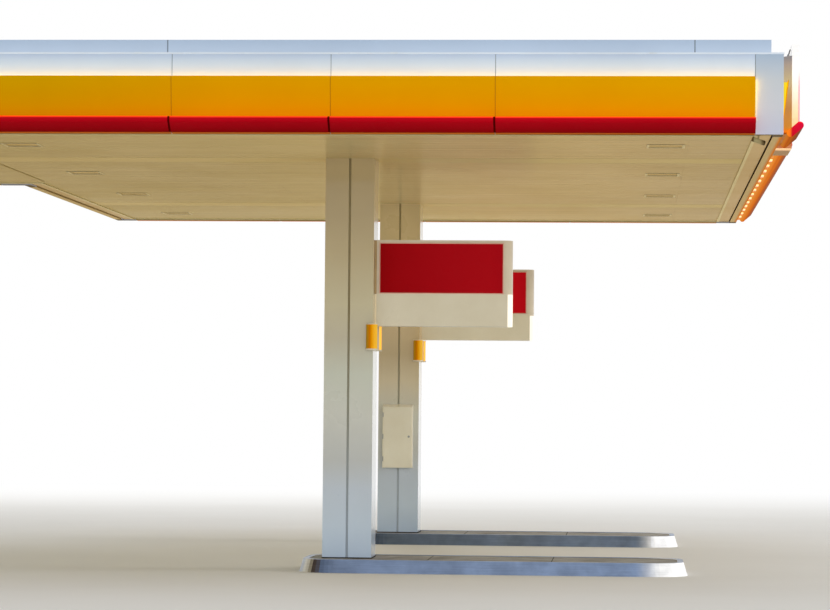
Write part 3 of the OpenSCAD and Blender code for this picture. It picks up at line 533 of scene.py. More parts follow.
plank_coat = ceiling_coat("gloss gold-beige coated steel", [
    (-12.0, "#d7ce9c"), (-2.4, "#d7ce9c"), (-0.4, "#e2d9a4"), (1.4, "#ebdca8"), (3.2, "#e5d7a6"),
    (4.6, "#dacea6")], "#d09e20", 0.45, 0.2)
place, colour = parts_of(plank_coat)
drawn = add("ShaderNodeMapping", {"Vector": place, "Scale": (0.12, 4.2, 0.0)})
coils = add("ShaderNodeTexNoise", {
    "Vector": drawn, "Scale": 1.0, "Detail": 3.0, "Roughness": 0.65})
rows_differ = add("ShaderNodeMapRange", [coils, 0.35, 0.65, 0.945, 1.05])
shade(plank_coat, base=add("ShaderNodeVectorMath", {0: colour, "Scale": rows_differ},
                           operation="SCALE"))
wear(ceiling_coat("gloss beige coated edge strip", "#e2d2a6", "#d09c20", 0.45, 0.2),
     "soffit_edge_strips")
wear(ceiling_coat("gloss ivory coated bead", "#ece2b8", "#d8b858", 0.4, 0.2), "soffit_beads")
print("ceiling coats ready")

# %% [markdown]
# ## Other coated parts
# Sign cases, lamps, the cabinet, luminaires and the camera each have their own coat. The
# luminaires' rims hang below the ceiling, and the side that faces the viewer is in shade.
# The signs and joint strips of the far row stand nearer the open back of the roof, so
# they are a little lighter.

# %% Sign, lamp and fitting finishes
case_white = coated("satin white acrylic case", "#e4dcc4", "#d8cfb8", 0.3, patch=0.7, share=0.3)
sign_red = coated("satin red film on sheet", [
    (0.3, "#9e040c"), (0.6, "#a90812"), (1.2, "#b40c18"), (1.7, "#ba0e1a"), (1.9, "#b40a18")],
    "#c09890", 0.26, patch=1.2, share=0.15, level=0.02, along=X)
for made, gain in ((case_white, 1.16), (sign_red, 1.5), (joint_dark, 1.3)):
    place, colour = parts_of(made)
    bounce = run_along(place, Y, 3.0, 6.0, 1.0, gain)
    shade(made, base=add("ShaderNodeVectorMath", {0: colour, "Scale": bounce}, operation="SCALE"))
lamp_metal = ceiling_coat("satin ivory coated luminaire", "#f4ecc8", "#e0c070", 0.4, 0.3)
place, colour = parts_of(lamp_metal)
below_ceiling = run_along(place, Z, soffit_z + 0.001, soffit_z - 0.001)
to_viewer = toward(lamp_metal, FRONT, 0.5, 0.9)
shaded_rim = add("ShaderNodeMath", [below_ceiling, to_viewer], operation="MULTIPLY")
rimmed = add("ShaderNodeMix", {0: shaded_rim, 6: colour, 7: "#3c2c10"}, 2, data_type="RGBA")
shade(lamp_metal, base=rimmed)
wear(case_white, "sign_lower_panels", "lamp_bases")
wear(sign_red, "sign_red_panels")
wear(lamp_metal, "luminaire_housings")
wear(coated("satin cream coated cabinet", "#f2ecd6", "#cfc4aa", 0.35, patch=0.5, share=0.2),
     "wall_cabinet")
# The shell is darker towards both ends: painted shade.
wear(coated("matt moulded camera shell", [
    (4.755, "#54442a"), (4.778, "#6c5c38"), (4.79, "#b0a478"), (4.85, "#b4a87c"),
    (4.875, "#80704c"), (4.9, "#4c3c20")], "#8c8060", 0.6, patch=0.1, level=0.1, along=X),
    "soffit_camera")
print("fitting finishes: 5")

# %% [markdown]
# ## Lit signs
# A light box on a column is opal acrylic, and the foot of its rounded nose glows white: painted
# sunlight. The side sign is opal too. The lamps behind the red bar light its backing box from
# below, as painted light: amber on the sides, with a painted glow there, and a pale patch on
# the underside, close to the first lamp that is on.

# %% Light boxes and the backing of the side sign
light_box = coated("opal acrylic light box", "#dccfb8", "#d0c6b0", 0.3, patch=0.7, share=0.3)
place, _ = parts_of(light_box)
# Painted sunlight: the foot of the nose glows white.
shade(light_box, glow="#fffdf6", strength=run_along(place, Z, 3.392, 3.388, 0.0, 0.6))
wear(light_box, "sign_light_boxes")

# The run of tones by height is painted lamp light: amber near the lamps at the foot, paler and greyer
# upwards.
backing_coat = coated("satin beige coated backing", [
    (5.02, "#d08c60"), (5.11, "#c87c50"), (5.15, "#e88820"), (5.22, "#ec9420"), (5.27, "#cc9c40"),
    (5.45, "#cca05c"), (5.60, "#d0ac78"), (5.81, "#ccbc94"), (6.0, "#b4a498"), (6.07, "#9a9494"),
    (6.12, "#8c8c92")], "#d0b890", 0.4, patch=0.6, share=0.2, level=0.05)
place, colour = parts_of(backing_coat)
to_right = toward(backing_coat, RIGHT, 0.5, 0.9)
beige = add("ShaderNodeMix", {0: to_right, 6: colour, 7: "#d8c8a4"}, 2, data_type="RGBA")
shade(backing_coat, base=beige, glow=beige)
underside(backing_coat, "#d2ae88", 0.05)
# Painted lamp light: the sides glow near the foot, and a pale patch glows under the first lamp.
foot_light = run_along(place, Z, 5.5, 5.2, 0.0, 0.3)
not_below = toward(backing_coat, UP, -0.9, -0.5)
sides_lit = add("ShaderNodeMath", [foot_light, not_below], operation="MULTIPLY")
first_lamp = (5.2, -1.95, 5.0)
from_lamp = add("ShaderNodeVectorMath", [place, first_lamp], "Value", operation="DISTANCE")
near_lamp = add("ShaderNodeMapRange", [from_lamp, 0.32, 0.06], interpolation_type="SMOOTHSTEP")
lit_patch = add("ShaderNodeMath", [near_lamp, toward(backing_coat, DOWN)], operation="MULTIPLY")
patch_glow = add("ShaderNodeMath", [lit_patch, 0.8], operation="MULTIPLY")
patched = add("ShaderNodeMix", {0: lit_patch, 6: fed_by(backing_coat, "Base Color"), 7: "#fff0c4"},
              2, data_type="RGBA")
shade(backing_coat, base=patched,
      strength=add("ShaderNodeMath", [sides_lit, patch_glow], operation="MAXIMUM"))
wear(backing_coat, "side_sign_backing")
print("light box and backing ready")

# %% Opal box of the side sign
side_opal = coated("opal acrylic side sign", [
    (5.24, "#ffeeb4"), (5.46, "#fff2c8"), (5.62, "#fff8e4"), (5.9, "#fffffa"), (6.15, "#f4f2f0")],
    "#e8dcc0", 0.3, patch=0.6, share=0.15)
place, colour = parts_of(side_opal)
low_part = run_along(place, Z, 5.95, 5.75)
outer_edge = run_along(place, X, 5.350, 5.356)
pink_rim = add("ShaderNodeMath", [outer_edge, low_part], operation="MULTIPLY")
rimmed = add("ShaderNodeMix", {0: pink_rim, 6: colour, 7: "#e8a8b8"}, 2, data_type="RGBA")
bare_face = toward(side_opal, RIGHT, 0.5, 0.9)
opal = add("ShaderNodeMix", {0: bare_face, 6: rimmed, 7: "#f2efe4"}, 2, data_type="RGBA")
shade(side_opal, base=opal, glow=opal, strength=0.25)
wear(side_opal, "side_sign_box")
print("side sign ready")

# %% [markdown]
# ## Amber covers and glass
# The covers of the column lamps are clear plastic over a pale base, so they are deep in
# colour and glossy. Their tone runs from dark where they face left to bright where they face
# right: painted light and shade. Those behind a column glow in the light from the back, as a
# painted glow. The glass of the luminaires is nearly opaque, because of its film of dust.

# %% Amber covers
amber = coated("gloss amber polycarbonate cover", "#e08c08", "#e0b060", 0.15, patch=0.2, share=0.3,
               level=0.03)
place, _ = parts_of(amber)
# Painted light and shade: dark where the cover faces left, bright where it faces right.
painted_side_light = add("ShaderNodeValToRGB", [toward(amber, RIGHT, -0.95, 0.95)], stops=[
    (0.0, "#b88a10"), (0.25, "#cc7400"), (0.6, "#f0a000"), (1.0, "#ffc438")])
depth = add("ShaderNodeSeparateXYZ", [place], Y)
from_column = add("ShaderNodeMath", [depth, far_row / 2, -far_row / 2], operation="WRAP")
rear_lamp = add("ShaderNodeMath", [from_column, 0.25], operation="GREATER_THAN")
to_viewer = toward(amber, FRONT, 0.9, 0.98)
# Painted glow: the covers behind a column glow with the light from the back.
back_light = add("ShaderNodeMath", [rear_lamp, to_viewer], operation="MULTIPLY")
glow = add("ShaderNodeMix", {0: back_light, 6: painted_side_light, 7: "#ffc85c"}, 2, data_type="RGBA")
shade(amber, base=painted_side_light, glow=glow,
      strength=add("ShaderNodeMapRange", [back_light, 0, 1, 0.12, 0.8]))
wear(amber, "lamp_covers")
print("amber covers done")

# %% Glass of the luminaires
glass = ceiling_coat("prismatic glass with a film of dust", "#ead8a6", "#d8b040", 0.6, 0.2)
shade(glass, alpha=0.9)
glass.surface_render_method = "BLENDED"
wear(glass, "luminaire_lenses")
print("luminaire glass done")

# %% [markdown]
# ## New pieces
# Each new piece is a mesh made with bmesh operators. A few helpers do the common work: they
# make a block between two corners or a peg with a few sides, round its edges, and turn a
# bmesh into an object with its finish, which rides on the canopy.

# %% Helpers for new pieces
def block(bm, low, high):
    """Adds a block between two corners and gives its vertices."""
    low, high = Vector(low), Vector(high)
    verts = bmesh.ops.create_cube(bm, size=1.0)["verts"]
    bmesh.ops.scale(bm, vec=high - low, verts=verts)
    bmesh.ops.translate(bm, vec=(low + high) / 2, verts=verts)
    return verts


def standing(bm, centre, half, z0, z1):
    """Adds a block round a place in the plan, from one height to another."""
    (x, y), (half_x, half_y) = centre, half
    return block(bm, (x - half_x, y - half_y, z0), (x + half_x, y + half_y, z1))


def peg(bm, centre, radius, length, along="Z", count=12):
    """Adds a round or many-sided peg along an axis and gives its vertices."""
    verts = bmesh.ops.create_cone(bm, cap_ends=True, segments=count, radius1=radius, radius2=radius,
                                  depth=length)["verts"]
    turns = {"X": Matrix.Rotation(math.pi / 2, 4, "Y"), "Y": Matrix.Rotation(math.pi / 2, 4, "X"),
             "Z": Matrix.Identity(4)}
    bmesh.ops.transform(bm, matrix=Matrix.Translation(centre) @ turns[along], verts=verts)
    return verts


def edges_of(verts, wanted):
    """Gives the edges at some vertices that pass a test on their two ends."""
    edges = {e for v in verts for e in v.link_edges}
    return [e for e in edges if wanted(e.verts[0].co, e.verts[1].co)]


def soften(bm, edges, width, steps=1):
    """Bevels edges and gives the vertices of the new faces."""
    made = bmesh.ops.bevel(bm, geom=edges, offset=width, offset_type="OFFSET", segments=steps,
                           profile=0.5, affect="EDGES", material=-1, clamp_overlap=True)
    return list({v for f in made["faces"] for v in f.verts})


def mesh_object(name, bm, made):
    """Turns a bmesh into an object with its finish."""
    mesh = bpy.data.meshes.new(name)
    bm.to_mesh(mesh)
    bm.free()
    mesh.materials.append(made)
    obj = bpy.data.objects.new(name, mesh)
    scene.collection.objects.link(obj)
    return obj


def piece(name, bm, made, smooth=None):
    """Turns a bmesh into a piece of the canopy."""
    bmesh.ops.recalc_face_normals(bm, faces=bm.faces)
    obj = mesh_object(name, bm, made)
    if smooth:
        obj.data.shade_smooth()
        obj.data.set_sharp_from_angle(angle=math.radians(smooth))
    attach(obj, "root")
    print(name, len(obj.data.polygons), "faces")
    return obj


print("helpers ready")

# %% [markdown]
# ## Ceiling planks
# The ceiling is laid from long steel planks, about 300 mm wide, with an open groove
# between them. They run along the front of the canopy and butt end to end every few
# metres. A plain closing strip, wider than a column, runs along each row of columns.
# The plan is cut into rows first. Where a luminaire or a column's core passes through, the
# row is cut round it, so no plank runs across an opening.

# %% Plan of the ceiling
strip_low, strip_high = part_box("strip_soffit")
block_low, block_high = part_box("block_soffit")
openings = [(x - half, x + half, y - half, y + half)
            for places, half in ((lamp_places, 0.2), (columns, 0.151)) for x, y in places]


def cut_round(x0, x1, y0, y1):
    """Splits a rectangle of the plan into pieces that leave the openings free."""
    crossing = [o for o in openings
                if o[0] < x1 and o[1] > x0 and o[2] < y1 - 0.001 and o[3] > y0 + 0.001]
    if not crossing:
        return [(x0, x1, y0, y1)]
    a, b, c, d = crossing[0]
    parts = []
    if a > x0:
        parts += cut_round(x0, a, y0, y1)
    if b < x1:
        parts += cut_round(b, x1, y0, y1)
    if c > y0:
        parts.append((max(a, x0), min(b, x1), y0, c))
    if d < y1:
        parts.append((max(a, x0), min(b, x1), d, y1))
    return parts


def rows(y0, y1, count):
    """Gives the edges of a number of equal rows."""
    return [(y0 + (y1 - y0) * i / count, y0 + (y1 - y0) * (i + 1) / count) for i in range(count)]


half_strip = 0.35
strip_rows = rows(strip_low.y, -half_strip, 10) + rows(half_strip, strip_high.y, 12)
block_rows = (rows(strip_high.y, far_row - half_strip, 13)
              + rows(far_row + half_strip, block_high.y, 10))
print("plank rows:", len(strip_rows) + len(block_rows), "openings:", len(openings))

# %% Lay the planks
plank_l, plank_t, groove, butt = 5.471, 0.012, 0.022, 0.001
smallest, plank_bevel = 0.004, 0.003
butts = [4.086 - plank_l * i for i in range(5)]


def lay(bm, x0, x1, y0, y1):
    """Lays the planks of one row, from butt to butt, with a soft lower edge at each groove."""
    cuts = sorted([x0, x1] + [b for b in butts if x0 + 0.3 < b < x1 - 0.3])
    for a, b in zip(cuts, cuts[1:]):
        for px0, px1, py0, py1 in cut_round(a + butt / 2, b - butt / 2,
                                            y0 + groove / 2, y1 - groove / 2):
            if min(py1 - py0, px1 - px0) < smallest:
                continue
            verts = block(bm, (px0, py0, soffit_z), (px1, py1, soffit_z + plank_t))
            low_edges = edges_of(verts, lambda p, q: max(p.z, q.z) < soffit_z + 0.001
                                 and abs(p.y - q.y) < 0.001)
            soften(bm, low_edges, min(plank_bevel, (py1 - py0) / 4))


planks = bmesh.new()
for y0, y1 in strip_rows:
    lay(planks, strip_low.x, strip_high.x, y0, y1)
for y0, y1 in block_rows:
    lay(planks, block_low.x, block_high.x, y0, y1)
plank_piece = piece("ceiling_planks", planks, plank_coat)

# %% Backing above the grooves and the closing strips
backing = bmesh.new()
for region in ((strip_low.x, strip_high.x, strip_low.y, strip_high.y),
               (block_low.x, block_high.x, strip_high.y, block_high.y)):
    for x0, x1, y0, y1 in cut_round(*region):
        block(backing, (x0, y0, soffit_z + 0.0125), (x1, y1, strip_high.z))
groove_coat = ceiling_coat("shaded beige coat in the grooves", "#a08a50", "#806000", 0.5, 0.4)
piece("ceiling_backing", backing, groove_coat)

closing = bmesh.new()
for row_y, x0, x1 in ((0.0, strip_low.x, strip_high.x), (far_row, block_low.x, block_high.x)):
    for a, b, c, d in cut_round(x0 + 0.002, x1 - 0.002, row_y - half_strip + groove,
                                row_y + half_strip - groove):
        block(closing, (a, c, soffit_z), (b, d, soffit_z + plank_t))
closing_coat = ceiling_coat("satin gold-beige coated steel", "#e8dfaa", "#d09e20", 0.45, 0.22)
piece("ceiling_closing_strips", closing, closing_coat)
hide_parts("strip_soffit", "block_soffit")

# %% Cover over the joint between the two parts of the roof
cover = bmesh.new()
joint_x, cover_w, cover_t = -4.55, 0.024, 0.003
verts = block(cover, (joint_x - cover_w / 2, strip_low.y + 0.02, soffit_z - cover_t),
              (joint_x + cover_w / 2, strip_high.y - 0.28, soffit_z))
soften(cover, edges_of(verts, lambda p, q: max(p.z, q.z) < soffit_z - 0.001), 0.001)
cover_coat = ceiling_coat("brown-beige coated joint cover", "#bcaa74", "#a88828", 0.45, 0.4)
piece("ceiling_joint_cover", cover, cover_coat)
print("ceiling laid")

# %% [markdown]
# ## Pieces that follow the roof's edge
# Six sides make the roof's L-shaped edge. It saves work to draw a piece once, as if its
# side ran along X with the roof behind it, and then to turn and move it onto each side.
# The joints between the trays, the yellow sheets and the lengths of bar come from a few
# panel lengths, so those are written once too. The two sides at the inward corner, named
# block and strip, have neither a yellow band nor a red bar.

# %% Sides of the roof and the joints along them
corner_l, end_panels, long_l = 0.31, [2.86, 1.83, 1.78], 3.1
sign_from, sign_to, sign_space = 1.75, 2.75, 0.008
sides = {
    "front": (left_x, front_y, 0), "right": (right_x, front_y, 90), "rear": (right_x, rear_y, 180),
    "block": (block_x, rear_y, 270), "strip": (block_x, strip_y, 180), "left": (left_x, strip_y, 270),
}
starts = [place[:2] for place in sides.values()]
lengths = dict(zip(sides, map(math.dist, starts, starts[1:] + starts[:1])))
before_inward, after_inward = "block", "strip"


def even(run):
    """Splits a run into equal panels that aren't too long."""
    count = math.ceil(run / long_l)
    return [run / count] * count


def panels(run):
    """Gives the panel lengths of a run, with the short ones near its ends."""
    rest = run - 2 * sum(end_panels)
    return end_panels + even(rest) + end_panels[::-1] if rest > end_panels[-1] else even(run)


def runs(side):
    """Gives the stretches of a side that carry the yellow band and the red bar."""
    last = lengths[side] - corner_l
    if side in (before_inward, after_inward):
        return []
    if side == "right":
        return [(corner_l, sign_from - sign_space), (sign_to + sign_space, last)]
    return [(corner_l, last)]


def joints(start, panel_lengths):
    """Gives the places of the joints between panels."""
    return [start + sum(panel_lengths[:i]) for i in range(1, len(panel_lengths))]


def put_on(bm, verts, side):
    """Moves vertices drawn along X, with the roof behind them, onto a side of the roof."""
    x, y, heading = sides[side]
    turn = Matrix.Rotation(math.radians(heading), 4, "Z")
    bmesh.ops.transform(bm, matrix=Matrix.Translation((x, y, 0)) @ turn, verts=verts)


def side_block(bm, side, low, high):
    """Adds a block on a side of the roof and gives its vertices."""
    verts = block(bm, low, high)
    put_on(bm, verts, side)
    return verts


stretches = [(side, a, b) for side in sides for a, b in runs(side)]
band_joints = [(side, u) for side, a, b in stretches
               for u in joints(a, (even if side == "right" else panels)(b - a))]
print("stretches of band:", len(stretches), "joints:", len(band_joints))

# %% [markdown]
# ## Joint strips and sleeves
# Between two trays a narrow strip closes the joint, a few millimetres back, so it reads as
# a fine grey line. The yellow sheets are joined by strips of their own colour, which lean
# out with them. The lengths of the red bar meet in dark rubber sleeves, a little thinner
# than the bar. The light modules hang under thin rails that close the slot between the
# trays and the bar.

# %% Strips in the joints of the trays and the yellow band
half_joint = 0.0037
tray_strips = bmesh.new()
for side, length in lengths.items():
    last = length - corner_l
    for u in [corner_l] + joints(corner_l, panels(last - corner_l)) + [last]:
        side_block(tray_strips, side, (u - half_joint, 0.003, fascia_z + 0.002),
                   (u + half_joint, 0.016, fascia_z + 0.883))
strip_coat = coated("satin grey joint strip", "#8a97a3", "#8a8a88", 0.4, patch=0.4)
piece("tray_joint_strips", tray_strips, strip_coat)

yellow_foot, yellow_head = fascia_z + 0.135, fascia_z + 0.635
yellow_lean, yellow_t = 0.075, 0.012
band_strips = bmesh.new()
for side, u in band_joints:
    verts = block(band_strips, (u - half_joint, -yellow_t + 0.003, yellow_foot),
                  (u + half_joint, -0.001, yellow_head - 0.001))
    for v in verts:
        if v.co.z > yellow_foot + 0.1:
            v.co.y -= yellow_lean - yellow_t
    put_on(band_strips, verts, side)
yellow_strip = coated("yellow acrylic joint strip", "#b87c00", "#a08040", 0.35, patch=0.5, level=0.12)
piece("band_joint_strips", band_strips, yellow_strip)

# %% Sleeves between the lengths of the red bar
bar_low, bar_high = Vector((0, -0.095, fascia_z + 0.044)), Vector((0, -0.197, fascia_z + 0.132))
sleeve_r, half_sleeve = 0.039, 0.013
lean = bar_high - bar_low
tilt = Matrix.Rotation(math.atan2(-lean.y, lean.z), 4, "X")
half_l = lean.length / 2 + sleeve_r
sleeves = bmesh.new()
for side, u in band_joints:
    verts = block(sleeves, (-half_sleeve, -sleeve_r, -half_l), (half_sleeve, sleeve_r, half_l))
    long_edges = edges_of(verts, lambda p, q: abs(p.x - q.x) > 0.001)
    verts = soften(sleeves, long_edges, sleeve_r * 0.98, 6)
    middle = Matrix.Translation(bar_low + lean / 2 + Vector((u, 0, 0)))
    bmesh.ops.transform(sleeves, matrix=middle @ tilt, verts=verts)
    put_on(sleeves, verts, side)
sleeve_rubber = coated("dark red rubber sleeve", "#560402", "#a08880", 0.8, patch=0.3, level=0.0)
piece("bar_sleeves", sleeves, sleeve_rubber, smooth=30)

# %% Rails that carry the light modules
rail_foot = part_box("light_modules")[1].z + 0.0002
rail_end, rail_w, rail_t = 0.004, 0.051, 0.003
rails = bmesh.new()
for side, a, b in stretches:
    verts = side_block(rails, side, (a + rail_end, -rail_w, rail_foot),
                       (b - rail_end, -0.0005, rail_foot + rail_t))
    soften(rails, edges_of(verts, lambda p, q: (p - q).length > 0.1), 0.001)
rail_coat = coated("amber lit coated rail", "#a86a24", "#8c5c28", 0.5, patch=0.3, level=0.05)
place, _ = parts_of(rail_coat)
# Painted lamp light: the rails glow amber, though they are no lamps.
lit(rail_coat, "#e08822", first_stretch(place, 0.75, 0.25), "#e08424", 0.1)
piece("module_rails", rails, rail_coat)

# %% [markdown]
# ## Light strips behind the yellow band
# The band is lit from behind by strips that lie between its sheets and the fascia. Some of
# their light escapes over the top, and past the open ends onto the corner panels. Real
# light strips in the right place give that glow for nothing, with the right fall-off.
# Thin plates close the ends of the band, and they glow too.

# %% Light strips and end plates
glow_strips, end_plates = bmesh.new(), bmesh.new()
level = yellow_head - 0.045
inner = (yellow_lean - yellow_t) * (level - yellow_foot) / (yellow_head - yellow_foot)
for side, a, b in stretches:
    side_block(glow_strips, side, (a + 0.012, -inner + 0.005, level),
               (b - 0.012, -0.004, level + 0.004))
    for u in (a + 0.0012, b - 0.0032):
        verts = block(end_plates, (u, -yellow_t / 2, yellow_foot + 0.01),
                      (u + 0.002, -0.001, level + 0.02))
        for v in verts:
            if v.co.z > yellow_foot + 0.1 and v.co.y < -0.002:
                v.co.y = -inner + 0.004
        put_on(end_plates, verts, side)
strip_light = coated("warm white light strip", "#fff0b4", "#ffe8a0", 0.5, patch=0.2)
lit(strip_light, fed_by(strip_light, "Base Color"), 1.0, "#fff0a8", 2.7)
piece("band_light_strips", glow_strips, strip_light)
end_light = coated("lit yellow end plate", "#605010", "#504010", 0.4, patch=0.2, level=0.1)
lit(end_light, "#f8d81c", 0.9, "#ffc84c", 4.5)
piece("band_end_plates", end_plates, end_light)

# %% [markdown]
# ## Roof edge: gap liner, splices and seals
# A dark liner closes the shadow gap between the trays and the ceiling from above, so the
# gap reads as a dark line. Short splices cover the butts of the coping, and a bead of
# sealant fills each joint of the flashing sheets.

# %% Liner of the shadow gap
liner_in, liner_out = 0.1055, 0.1185
liner = bmesh.new()
for side, length in lengths.items():
    u0 = -liner_out if side == after_inward else liner_out
    u1 = length + (liner_in if side == before_inward else -liner_in)
    side_block(liner, side, (u0, liner_in, soffit_z + 0.006), (u1, liner_out, soffit_z + 0.02))
# The liner's tone is painted light and shade: lighter on the left, where light enters the gap,
# darkest on the right.
liner_coat = coated("brown foam liner", [
    (block_x, "#a4824c"), (block_x + 0.3, "#8c6c3c"), (1.9, "#8c6c3c"), (3.1, "#50301a"),
    (right_x - 0.6, "#50301a"), (right_x - 0.3, "#3a1c0c")],
    "#7c6c5c", 0.9, patch=0.4, level=0.0, along=X)
piece("gap_liner", liner, liner_coat)

# %% Splices of the coping and sealant of the flashing joints
coping_low, coping_high = (corner.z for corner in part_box("fascia_coping"))
upstand_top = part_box("roof_upstand")[1].z
coping_l, half_splice, splice_t, lip, coping_back = 3.0, 0.04, 0.0015, 0.005, 0.128
half_seal, seal_front, seal_back, first_sheet, sheet_l = 0.007, 0.1292, 0.1508, 0.84, 5.88
splices, seals = bmesh.new(), bmesh.new()
for side, length in lengths.items():
    count = max(1, round(length / coping_l))
    for i in range(count):
        u0, u1 = (length * (i + 0.5) / count + turn * half_splice for turn in (-1, 1))
        side_block(splices, side, (u0, -lip - splice_t, coping_high),
                   (u1, coping_back, coping_high + splice_t))
        side_block(splices, side, (u0, -lip - splice_t, coping_low + 0.001), (u1, -lip, coping_high))
    u0 = -0.15 if side == after_inward else 0.1503
    u1 = length + (0.1297 if side == before_inward else -0.13)
    at = first_sheet
    while at < u1 - u0 - first_sheet / 2:
        u = u1 - at - 0.0015
        side_block(seals, side, (u - half_seal, seal_front, coping_high),
                   (u + half_seal, seal_back, upstand_top - 0.001))
        at += sheet_l
splice_coat = coated("gloss white coping splice", "#dce6f0", "#cfd2d2", 0.3, patch=0.3)
piece("coping_splices", splices, splice_coat)
seal_coat = coated("grey joint sealant", "#8c98a6", "#80848a", 0.7, patch=0.2, level=0.2)
piece("flashing_seals", seals, seal_coat)

# %% [markdown]
# ## Signs, lamps and fittings up close
# The signs are packed against their columns with rubber strips, and a slim pale frame
# holds each red panel. The cabinet has hinges and a lock, the camera a lens. Pegs with a
# few sides serve as screws, hinges, tubes and bolts.

# %% Packing strips and panel frames of the signs
gap_middle, strip_half = 0.312, (0.0117, 0.009)
sign_feet = (2.995, 2.995, 3.02)
red_x, red_z, red_l, red_h = 0.358, 0.399, 1.523, 0.622
frame_out, frame_in, half_frame = 0.003, 0.009, 0.004
packings, closers, frames = bmesh.new(), bmesh.new(), bmesh.new()
for (x, y), z in zip(columns, sign_feet):
    a, b, c, d = x + red_x, x + red_x + red_l, z + red_z, z + red_z + red_h
    bars = ((a - frame_out, a + frame_in, c - frame_out, d + frame_out),
            (b - frame_in, b + frame_out, c - frame_out, d + frame_out),
            (a + frame_in, b - frame_in, c - frame_out, c + frame_in),
            (a + frame_in, b - frame_in, d - frame_in, d + frame_out))
    for turn in (-1, 1):
        standing(packings, (x + gap_middle, y + turn * 0.129), strip_half, z + 0.397, z + 1.053)
        standing(closers, (x + gap_middle, y + turn * 0.124), strip_half, z + 0.002, z + 0.393)
        face = y + turn * 0.1443
        for x0, x1, z0, z1 in bars:
            verts = block(frames, (x0, face - half_frame, z0), (x1, face + half_frame, z1))
            soften(frames, edges_of(verts, lambda p, q: abs(p.y - q.y) < 0.001), 0.001)
packing_coat = coated("pale brown rubber packing", "#c4a87e", "#a08c70", 0.8, patch=0.3, level=0.1)
piece("sign_packings", packings, packing_coat)
closer_coat = coated("satin cream closing strip", "#fff0d0", "#d8ccb0", 0.6, patch=0.3, level=0.1)
piece("sign_closing_strips", closers, closer_coat)
frame_coat = coated("satin pale panel frame", "#e4b8a4", "#c8a898", 0.4, patch=0.3, level=0.2)
piece("sign_panel_frames", frames, frame_coat)

# %% Hinges and lock of the cabinet, lens of the camera
hinge_x, hinge_y, hinge_r, hinge_l = -0.213, 7.6115, 0.006, 0.07
fittings = bmesh.new()
for z in (1.25, 1.58, 1.9):
    peg(fittings, (hinge_x, hinge_y, z), hinge_r, hinge_l)
peg(fittings, (0.17, 7.6, 1.58), 0.016, 0.008, "Y", 20)
fitting_metal = coated("bright zinc fitting", "#b0b2b0", "#808080", 0.35, patch=0.2, metal=0.8)
piece("cabinet_fittings", fittings, fitting_metal, smooth=40)

lens = bmesh.new()
lens_verts = (peg(lens, (0, 0, 0.0765), 0.02, 0.003, "Z", 24)
              + peg(lens, (0, 0, 0.0775), 0.011, 0.004, "Z", 24))
shell_middle = Matrix.Translation((right_x - 0.265, front_y + 0.199, soffit_z - 0.07))
looks_down = Matrix.Rotation(math.radians(110), 4, "Y")
bmesh.ops.transform(lens, matrix=shell_middle @ looks_down, verts=lens_verts)
lens_black = coated("black lens with its ring", "#181818", "#303030", 0.15, patch=0.05)
piece("camera_lens", lens, lens_black, smooth=40)

# %% Lamp trays, tubes and screws of the luminaires
half_tray, holder_off, tube_off, screw_off = 0.18, 0.165, 0.07, 0.209
tube_r, tube_l, screw_r, screw_t = 0.013, 0.3, 0.004, 0.002
trays, tubes, screws = bmesh.new(), bmesh.new(), bmesh.new()
for x, y in lamp_places:
    standing(trays, (x, y), (half_tray, half_tray), soffit_z + 0.096, soffit_z + 0.104)
    for turn in (-1, 1):
        holder = (x + turn * holder_off, y)
        standing(trays, holder, (0.012, 0.12), soffit_z + 0.05, soffit_z + 0.0955)
        peg(tubes, (x, y + turn * tube_off, soffit_z + 0.07), tube_r, tube_l, "X", 16)
        for other in (-1, 1):
            corner = (x + turn * screw_off, y + other * screw_off, soffit_z - 0.005)
            peg(screws, corner, screw_r, screw_t, "Z", 8)
tray_coat = coated("gloss white lamp tray", "#e8e8e0", "#d0ccc0", 0.3, patch=0.2)
piece("luminaire_trays", trays, tray_coat)
tube_glass = coated("frosted tube glass", "#f4f2ea", "#d8d4c8", 0.4, patch=0.1)
piece("luminaire_tubes", tubes, tube_glass, smooth=40)
piece("luminaire_screws", screws, fitting_metal, smooth=40)

# %% [markdown]
# ## Deck screws, anchor bolts and joints of the islands
# Self-drilling screws hold the deck where its valleys cross the beams. Four anchor bolts
# with hexagon nuts hold each base plate. The slabs have a filled joint every metre and a
# half, and a dark seal runs round the foot of each column.

# %% Deck screws and anchor bolts
screw_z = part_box("edge_beams")[1].z + 0.009
beam_in, beams, valley, valleys = 0.2453, 7, 0.25, 29
heads = bmesh.new()
for i in range(2):
    for k in range(beams):
        x = right_x - i * bay - beam_in - k * (bay - 2 * beam_in) / (beams - 1)
        for base in (front_y + valley, strip_y - 0.05015)[:2 - i]:
            for n in range(1, valleys + 1):
                peg(heads, (x, base + valley * n, screw_z), 0.007, 0.006, "Z", 6)
piece("deck_screws", heads, fitting_metal)
anchors = bmesh.new()
anchor_off = 0.185
bolt_parts = ((0.055, 0.012, 0.06, 16), (0.0365, 0.021, 0.019, 6), (0.026, 0.025, 0.003, 20))
for x, y in columns:
    for a in (-anchor_off, anchor_off):
        for b in (-anchor_off, anchor_off):
            for z, radius, length, count in bolt_parts:
                peg(anchors, (x + a, y + b, z), radius, length, "Z", count)
piece("anchor_bolts", anchors, fitting_metal, smooth=40)

